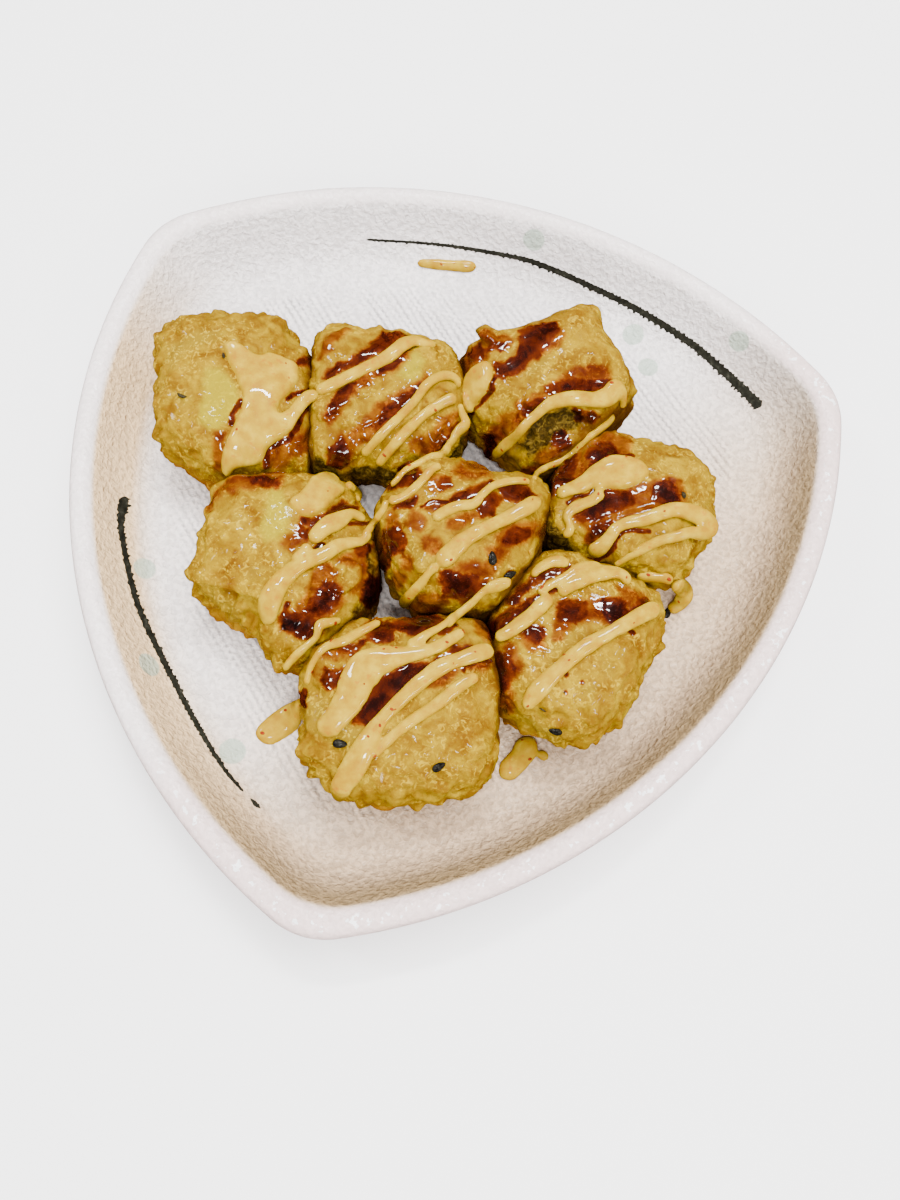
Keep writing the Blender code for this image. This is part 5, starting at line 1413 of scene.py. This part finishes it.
class Surface:
    """What the toppings lie on, as it is met by lines from the eye."""

    def __init__(self, items):
        parts = [([vertex.co.copy() for vertex in item.data.vertices],
                  [face.vertices for face in item.data.polygons]) for item in items]
        self.tree = BVHTree.FromPolygons(*join_parts(parts))

    def look(self, flat):
        """Distances from the eye and normals where lines through points of the plan meet the surface."""
        reaches = np.full(len(flat), np.nan)
        normals = np.zeros((len(flat), 3))
        for index, (x, y) in enumerate(flat):
            towards = (Vector((x, y, SIGHT_LEVEL)) - EYE).normalized()
            place, normal, _, reach = self.tree.ray_cast(EYE, towards)
            if place:
                reaches[index] = reach
                normals[index] = normal
        return reaches, normals


def from_eye(flat, reaches):
    """Points at the given distances from the eye, on lines through points of the plan."""
    towards = normalised(np.column_stack([flat, np.full(len(flat), SIGHT_LEVEL)]) - np.array(EYE))
    return np.array(EYE) + towards * reaches[:, None]


def smooth_run(values, spread):
    """Gaussian smoothing along a run, whose ends are held."""
    reach = max(1, int(spread * 3))
    weights = np.exp(-0.5 * (np.arange(-reach, reach + 1) / spread) ** 2)
    weights /= weights.sum()
    padded = np.pad(values, [(reach, reach)] + [(0, 0)] * (values.ndim - 1), mode="edge")
    if values.ndim == 1:
        return np.convolve(padded, weights, mode="valid")
    return np.stack([np.convolve(column, weights, mode="valid") for column in padded.T], axis=-1)


def strand_mesh(surface, route, sink=STRAND_SINK, rise=STRAND_RISE, plump=STRAND_PLUMP):
    """Points and faces of a soft bead laid along a route, bridging small hollows."""
    run = smooth_route(np.array(route) * MM, STRAND_STEP)
    reaches, normals = surface.look(run[:, :2])
    known = ~np.isnan(reaches)
    order = np.arange(len(run))
    reaches = np.interp(order, order[known], reaches[known])
    normals = np.stack([np.interp(order, order[known], column[known]) for column in normals.T], axis=-1)
    held = np.pad(reaches, STRAND_BRIDGE, mode="edge")
    nearest = np.min([held[shift:shift + len(run)] for shift in range(2 * STRAND_BRIDGE + 1)], axis=0)
    reaches = np.maximum(smooth_run(nearest, BRIDGE_SPREAD), smooth_run(reaches, LIE_SPREAD) - STRAND_LIFT)
    normals = normalised(smooth_run(normals, NORMAL_SPREAD))
    places = from_eye(run[:, :2], reaches)
    along = normalised(np.gradient(places, axis=0))
    across = normalised(np.cross(along, normals))
    outward = np.cross(across, along)
    widths = run[:, 2] * (1 + STRAND_WAVER * fine_noise(places, STRAND_WAVER_SIZE, 31))
    run_length = order * STRAND_STEP
    from_end = np.minimum(run_length, run_length[-1] - run_length)
    ends = np.clip(from_end / np.maximum(widths * 0.5, SLIVER), 0, 1)
    round_end = np.sqrt(np.clip(1 - (1 - ends) ** 2, END_LEAST, 1))
    heights = np.minimum(rise + plump * widths, STRAND_TOP) * round_end
    angles = full_turn(STRAND_SIDES)
    climb = np.sin(angles)
    points = []
    for index in range(len(run)):
        side = np.cos(angles) * widths[index] / 2 * round_end[index]
        lift = np.where(climb > 0, np.abs(climb) ** STRAND_FULLNESS * heights[index], climb * sink)
        points.extend(places[index] + across[index] * s + outward[index] * h for s, h in zip(side, lift))
    faces = tube_faces(len(run), STRAND_SIDES)
    faces.append(tuple(reversed(range(STRAND_SIDES))))
    faces.append(tuple(range(len(points) - STRAND_SIDES, len(points))))
    return points, faces


def puddle_mesh(surface, outline):
    """Points and faces of a puddle with a rounded edge, its top smoother than what it lies on."""
    ring = smooth_route([*outline, outline[0]], PUDDLE_RING_STEP)[:-1] * MM
    low = ring.min(axis=0)
    high = ring.max(axis=0)
    x, y = np.meshgrid(np.arange(low[0], high[0], PUDDLE_STEP), np.arange(low[1], high[1], PUDDLE_STEP))
    inner = np.stack([x.ravel(), y.ravel()], axis=-1)
    points, faces = fill_ring(ring, inner[area_depth(inner, ring) > PUDDLE_STEP * 0.5])
    reaches, normals = surface.look(points)
    reaches = np.where(np.isnan(reaches), np.nanmean(reaches), reaches)
    pairs = np.array([(face[i], face[j]) for face in faces for i, j in closed_pairs(3)])
    pairs = np.vstack([pairs, pairs[:, ::-1]])
    counts = np.maximum(np.bincount(pairs[:, 0], minlength=len(points)), 1)

    def smoothed(values):
        """Each value drawn towards the mean of its neighbours."""
        total = np.bincount(pairs[:, 0], weights=values[pairs[:, 1]], minlength=len(points))
        return PUDDLE_HOLD * values + (1 - PUDDLE_HOLD) * total / counts

    for _ in range(PUDDLE_ROUNDS):
        reaches = smoothed(reaches)
        normals = np.stack([smoothed(column) for column in normals.T], axis=-1)
    normals = normalised(normals)
    places = from_eye(points, reaches)
    share = np.clip(area_depth(points, ring) / PUDDLE_EDGE, 0, 1)
    swell = 1 + PUDDLE_SWELL * fine_noise(places, PUDDLE_SWELL_SIZE, 41)
    thick = PUDDLE_RISE * np.sqrt(1 - (1 - share) ** 2) * swell
    top = places + normals * thick[:, None]
    bottom = places - normals * PUDDLE_SINK
    count = len(points)
    solid = [tuple(face) for face in faces]
    solid += [tuple(index + count for index in reversed(face)) for face in faces]
    solid += [(index, index + count, after + count, after) for index, after in closed_pairs(len(ring))]
    return list(top) + list(bottom), solid


def melt(item):
    """Merges an object's overlapping parts into one smooth skin."""
    face_outward(item)
    remesh = item.modifiers.new("melt", "REMESH")
    remesh.mode = "VOXEL"
    remesh.voxel_size = MAYO_VOXEL
    smooth = item.modifiers.new("smooth", "SMOOTH")
    smooth.factor = MELT_FACTOR
    smooth.iterations = MELT_ROUNDS
    graph = bpy.context.evaluated_depsgraph_get()
    mesh = bpy.data.meshes.new_from_object(item.evaluated_get(graph))
    item.modifiers.clear()
    item.data = mesh
    mesh.shade_smooth()


def make_mayo(surface):
    items = []
    for name, spec in MAYO.items():
        parts = [strand_mesh(surface, route) for route in spec["strands"]]
        parts += [puddle_mesh(surface, outline) for outline in spec["puddles"]]
        item = mesh_object(name, *join_parts(parts))
        melt(item)
        items.append(item)
    return items


def oval(place, normal, turn, sizes, rings, sides, point=0.0):
    """Points and faces of an egg shape lying on a surface, pointed at one end."""
    place = Vector(place)
    normal = Vector(normal)
    along = Vector((math.cos(turn), math.sin(turn), 0))
    along = (along - normal * along.dot(normal)).normalized()
    across = normal.cross(along)
    length, width, height = sizes
    points = [place - along * length]
    for ring in range(1, rings):
        angle = math.pi * ring / rings
        reach = -math.cos(angle)
        girth = math.sin(angle) * (1 - point * reach)
        for side in range(sides):
            swing = 2 * math.pi * side / sides
            points.append(place + along * (reach * length) + across * (girth * width * math.cos(swing))
                          + normal * (girth * height * math.sin(swing)))
    points.append(place + along * length)
    last = len(points) - 1
    faces = tube_faces(rings - 1, sides, first=1)
    for side, after in closed_pairs(sides):
        faces.append((0, 1 + after, 1 + side))
        faces.append((last, last - sides + side, last - sides + after))
    return points, faces


def make_seeds(surface):
    parts = []
    for x, y, turn in SEEDS:
        flat = np.array([(x, y)]) * MM
        reaches, normals = surface.look(flat)
        place = from_eye(flat, reaches)[0] + normals[0] * SEED_LIFT
        parts.append(oval(place, normals[0], math.radians(turn), SEED_SIZES, rings=10, sides=16,
                          point=SEED_POINT))
    return mesh_object("seeds", *join_parts(parts))


def make_scraps(surface):
    return mesh_object("scraps", *join_parts([strand_mesh(surface, route, **SCRAP_FORM) for route in SCRAPS]))


def make_flecks(mayo):
    """Red flecks strewn over the mayonnaise where it shows."""
    parts = []
    for item in mayo:
        for face in item.data.polygons:
            if face.normal.z < FLECK_LEAST_UP or RNG.random() > face.area * FLECKS_PER_AREA:
                continue
            length = RNG.uniform(*FLECK_REACH) * MM
            sizes = (length, length * RNG.uniform(*FLECK_WIDTH), FLECK_HEIGHT)
            parts.append(oval(face.center - face.normal * FLECK_SINK, face.normal, RNG.uniform(0, math.tau),
                              sizes, rings=5, sides=8))
    return mesh_object("chili_flecks", *join_parts(parts))


def make_strokes(surface):
    """Brush strokes as thin ribbons on the dish, with bristle marks on both edges, and more on one."""
    parts = []
    for index, (route, frayed) in enumerate(STROKES):
        run = smooth_route(np.array(route) * MM, STROKE_STEP)
        along = normalised(np.gradient(run[:, :2], axis=0))
        across = np.column_stack([-along[:, 1], along[:, 0]]) * frayed
        steps = np.zeros((len(run), 3))
        steps[:, 0] = np.arange(len(run)) * STROKE_STEP
        steps[:, 1] = index * STROKE_LANE
        ends = np.sqrt(np.clip(np.minimum(steps[:, 0], steps[::-1, 0]) / STROKE_END, END_LEAST, 1))
        reach = []
        for edge, strength in enumerate(BRISTLE_STRENGTHS):
            ragged = fine_noise(steps, RAGGED_SIZE, 91 + edge) * RAGGED_SHARE
            bristles = np.clip(fine_noise(steps, BRISTLE_SIZE, 93 + edge) - 0.06, 0, BRISTLE_REACH) * strength
            reach.append(run[:, 2] * (0.45 + ragged / 2 + bristles) * ends)
        points = []
        for column in range(STROKE_COLUMNS + 1):
            share = column / STROKE_COLUMNS
            flat = run[:, :2] + across * (reach[1] * share - reach[0] * (1 - share))[:, None]
            reaches, normals = surface.look(flat)
            lift = STROKE_LIFT if 0 < column < STROKE_COLUMNS else -STROKE_SINK
            points.append(from_eye(flat, reaches) + normals * lift)
        width = STROKE_COLUMNS + 1
        corners = [row * width + column for row in range(len(run) - 1) for column in range(STROKE_COLUMNS)]
        faces = [(corner, corner + 1, corner + width + 1, corner + width) for corner in corners]
        parts.append((list(np.stack(points, axis=1).reshape(-1, 3)), faces))
    return mesh_object("brush_strokes", *join_parts(parts))


def dots_on_dish(surface):
    """Centres of the pale dots where they lie on the dish, and their widths."""
    flat = np.array([(x, y) for x, y, _ in DOTS]) * MM
    reaches, _ = surface.look(flat)
    places = from_eye(flat, reaches)
    return [(tuple(place), width * MM) for place, (_, _, width) in zip(places, DOTS)]


# Stage

def make_camera():
    data = bpy.data.cameras.new("camera")
    data.sensor_fit = "VERTICAL"
    data.sensor_height = SENSOR_HEIGHT
    data.lens = LENS
    data.clip_start = CLIP_START
    camera = bpy.data.objects.new("camera", data)
    bpy.context.scene.collection.objects.link(camera)
    turn = (AIM - EYE).to_track_quat("-Z", "Y").to_matrix() @ Matrix.Rotation(ROLL, 3, "Z")
    camera.matrix_world = Matrix.Translation(EYE + Vector((0, DISH_SHIFT, 0))) @ turn.to_4x4()
    bpy.context.scene.camera = camera


def area_light(name, place, size, power, mirrored):
    data = bpy.data.lights.new(name, "AREA")
    data.shape = "RECTANGLE"
    data.size, data.size_y = size
    data.energy = power
    light = bpy.data.objects.new(name, data)
    light.visible_glossy = mirrored
    bpy.context.scene.collection.objects.link(light)
    light.location = place
    light.rotation_euler = (LIGHT_TARGET - Vector(place)).to_track_quat("-Z", "Y").to_euler()


def make_stage():
    """A plain table and soft light, with small lamps that the glossy sauce mirrors."""
    corners = [(TABLE_REACH * x, TABLE_REACH * y, 0) for x, y in ((-1, -1), (1, -1), (1, 1), (-1, 1))]
    floor = mesh_object("floor", corners, [(0, 1, 2, 3)], smooth=False)
    g = Graph("floor")
    g.set(Base_Color=TABLE_COLOUR, Roughness=0.8)
    floor.data.materials.append(g.material)
    floor.visible_glossy = False
    world = bpy.data.worlds.new("world")
    world.use_nodes = True
    background = world.node_tree.nodes["Background"]
    background.inputs["Color"].default_value = WORLD_COLOUR
    background.inputs["Strength"].default_value = WORLD_STRENGTH
    world.cycles_visibility.glossy = False
    bpy.context.scene.world = world
    for light in LIGHTS:
        area_light(*light)


# Assembly

def finish_piece(item, slot, material, *nodes):
    item.data.materials.clear()
    item.data.materials.append(material)
    item.location.y = DISH_SHIFT
    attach(item, "root")
    if nodes:
        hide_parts(*nodes)


def main():
    make_camera()
    make_stage()
    dish = make_dish()
    dish.visible_glossy = False
    dish_surface = Surface([dish])
    bites = make_bites()
    surface = Surface([dish, *bites.values()])
    mayo = make_mayo(surface)
    finish_piece(dish, "dish", dish_material(dots_on_dish(dish_surface)), "dish")
    finish_piece(make_strokes(dish_surface), "dish", ink_material())
    batter = batter_material()
    for name, item in bites.items():
        finish_piece(item, "batter", batter, name)
    sauce = mayo_material()
    for item in mayo:
        finish_piece(item, "mayo", sauce)
    finish_piece(make_seeds(surface), "seed", speck_material("seed", SEED_TONES, 0.22, 0.5 * MM))
    finish_piece(make_scraps(surface), "seed", speck_material("scrap", SCRAP_TONES, 0.5, 0.5 * MM))
    finish_piece(make_flecks(mayo), "chili", speck_material("chili", CHILI_TONES, 0.5, 0.4 * MM))


main()
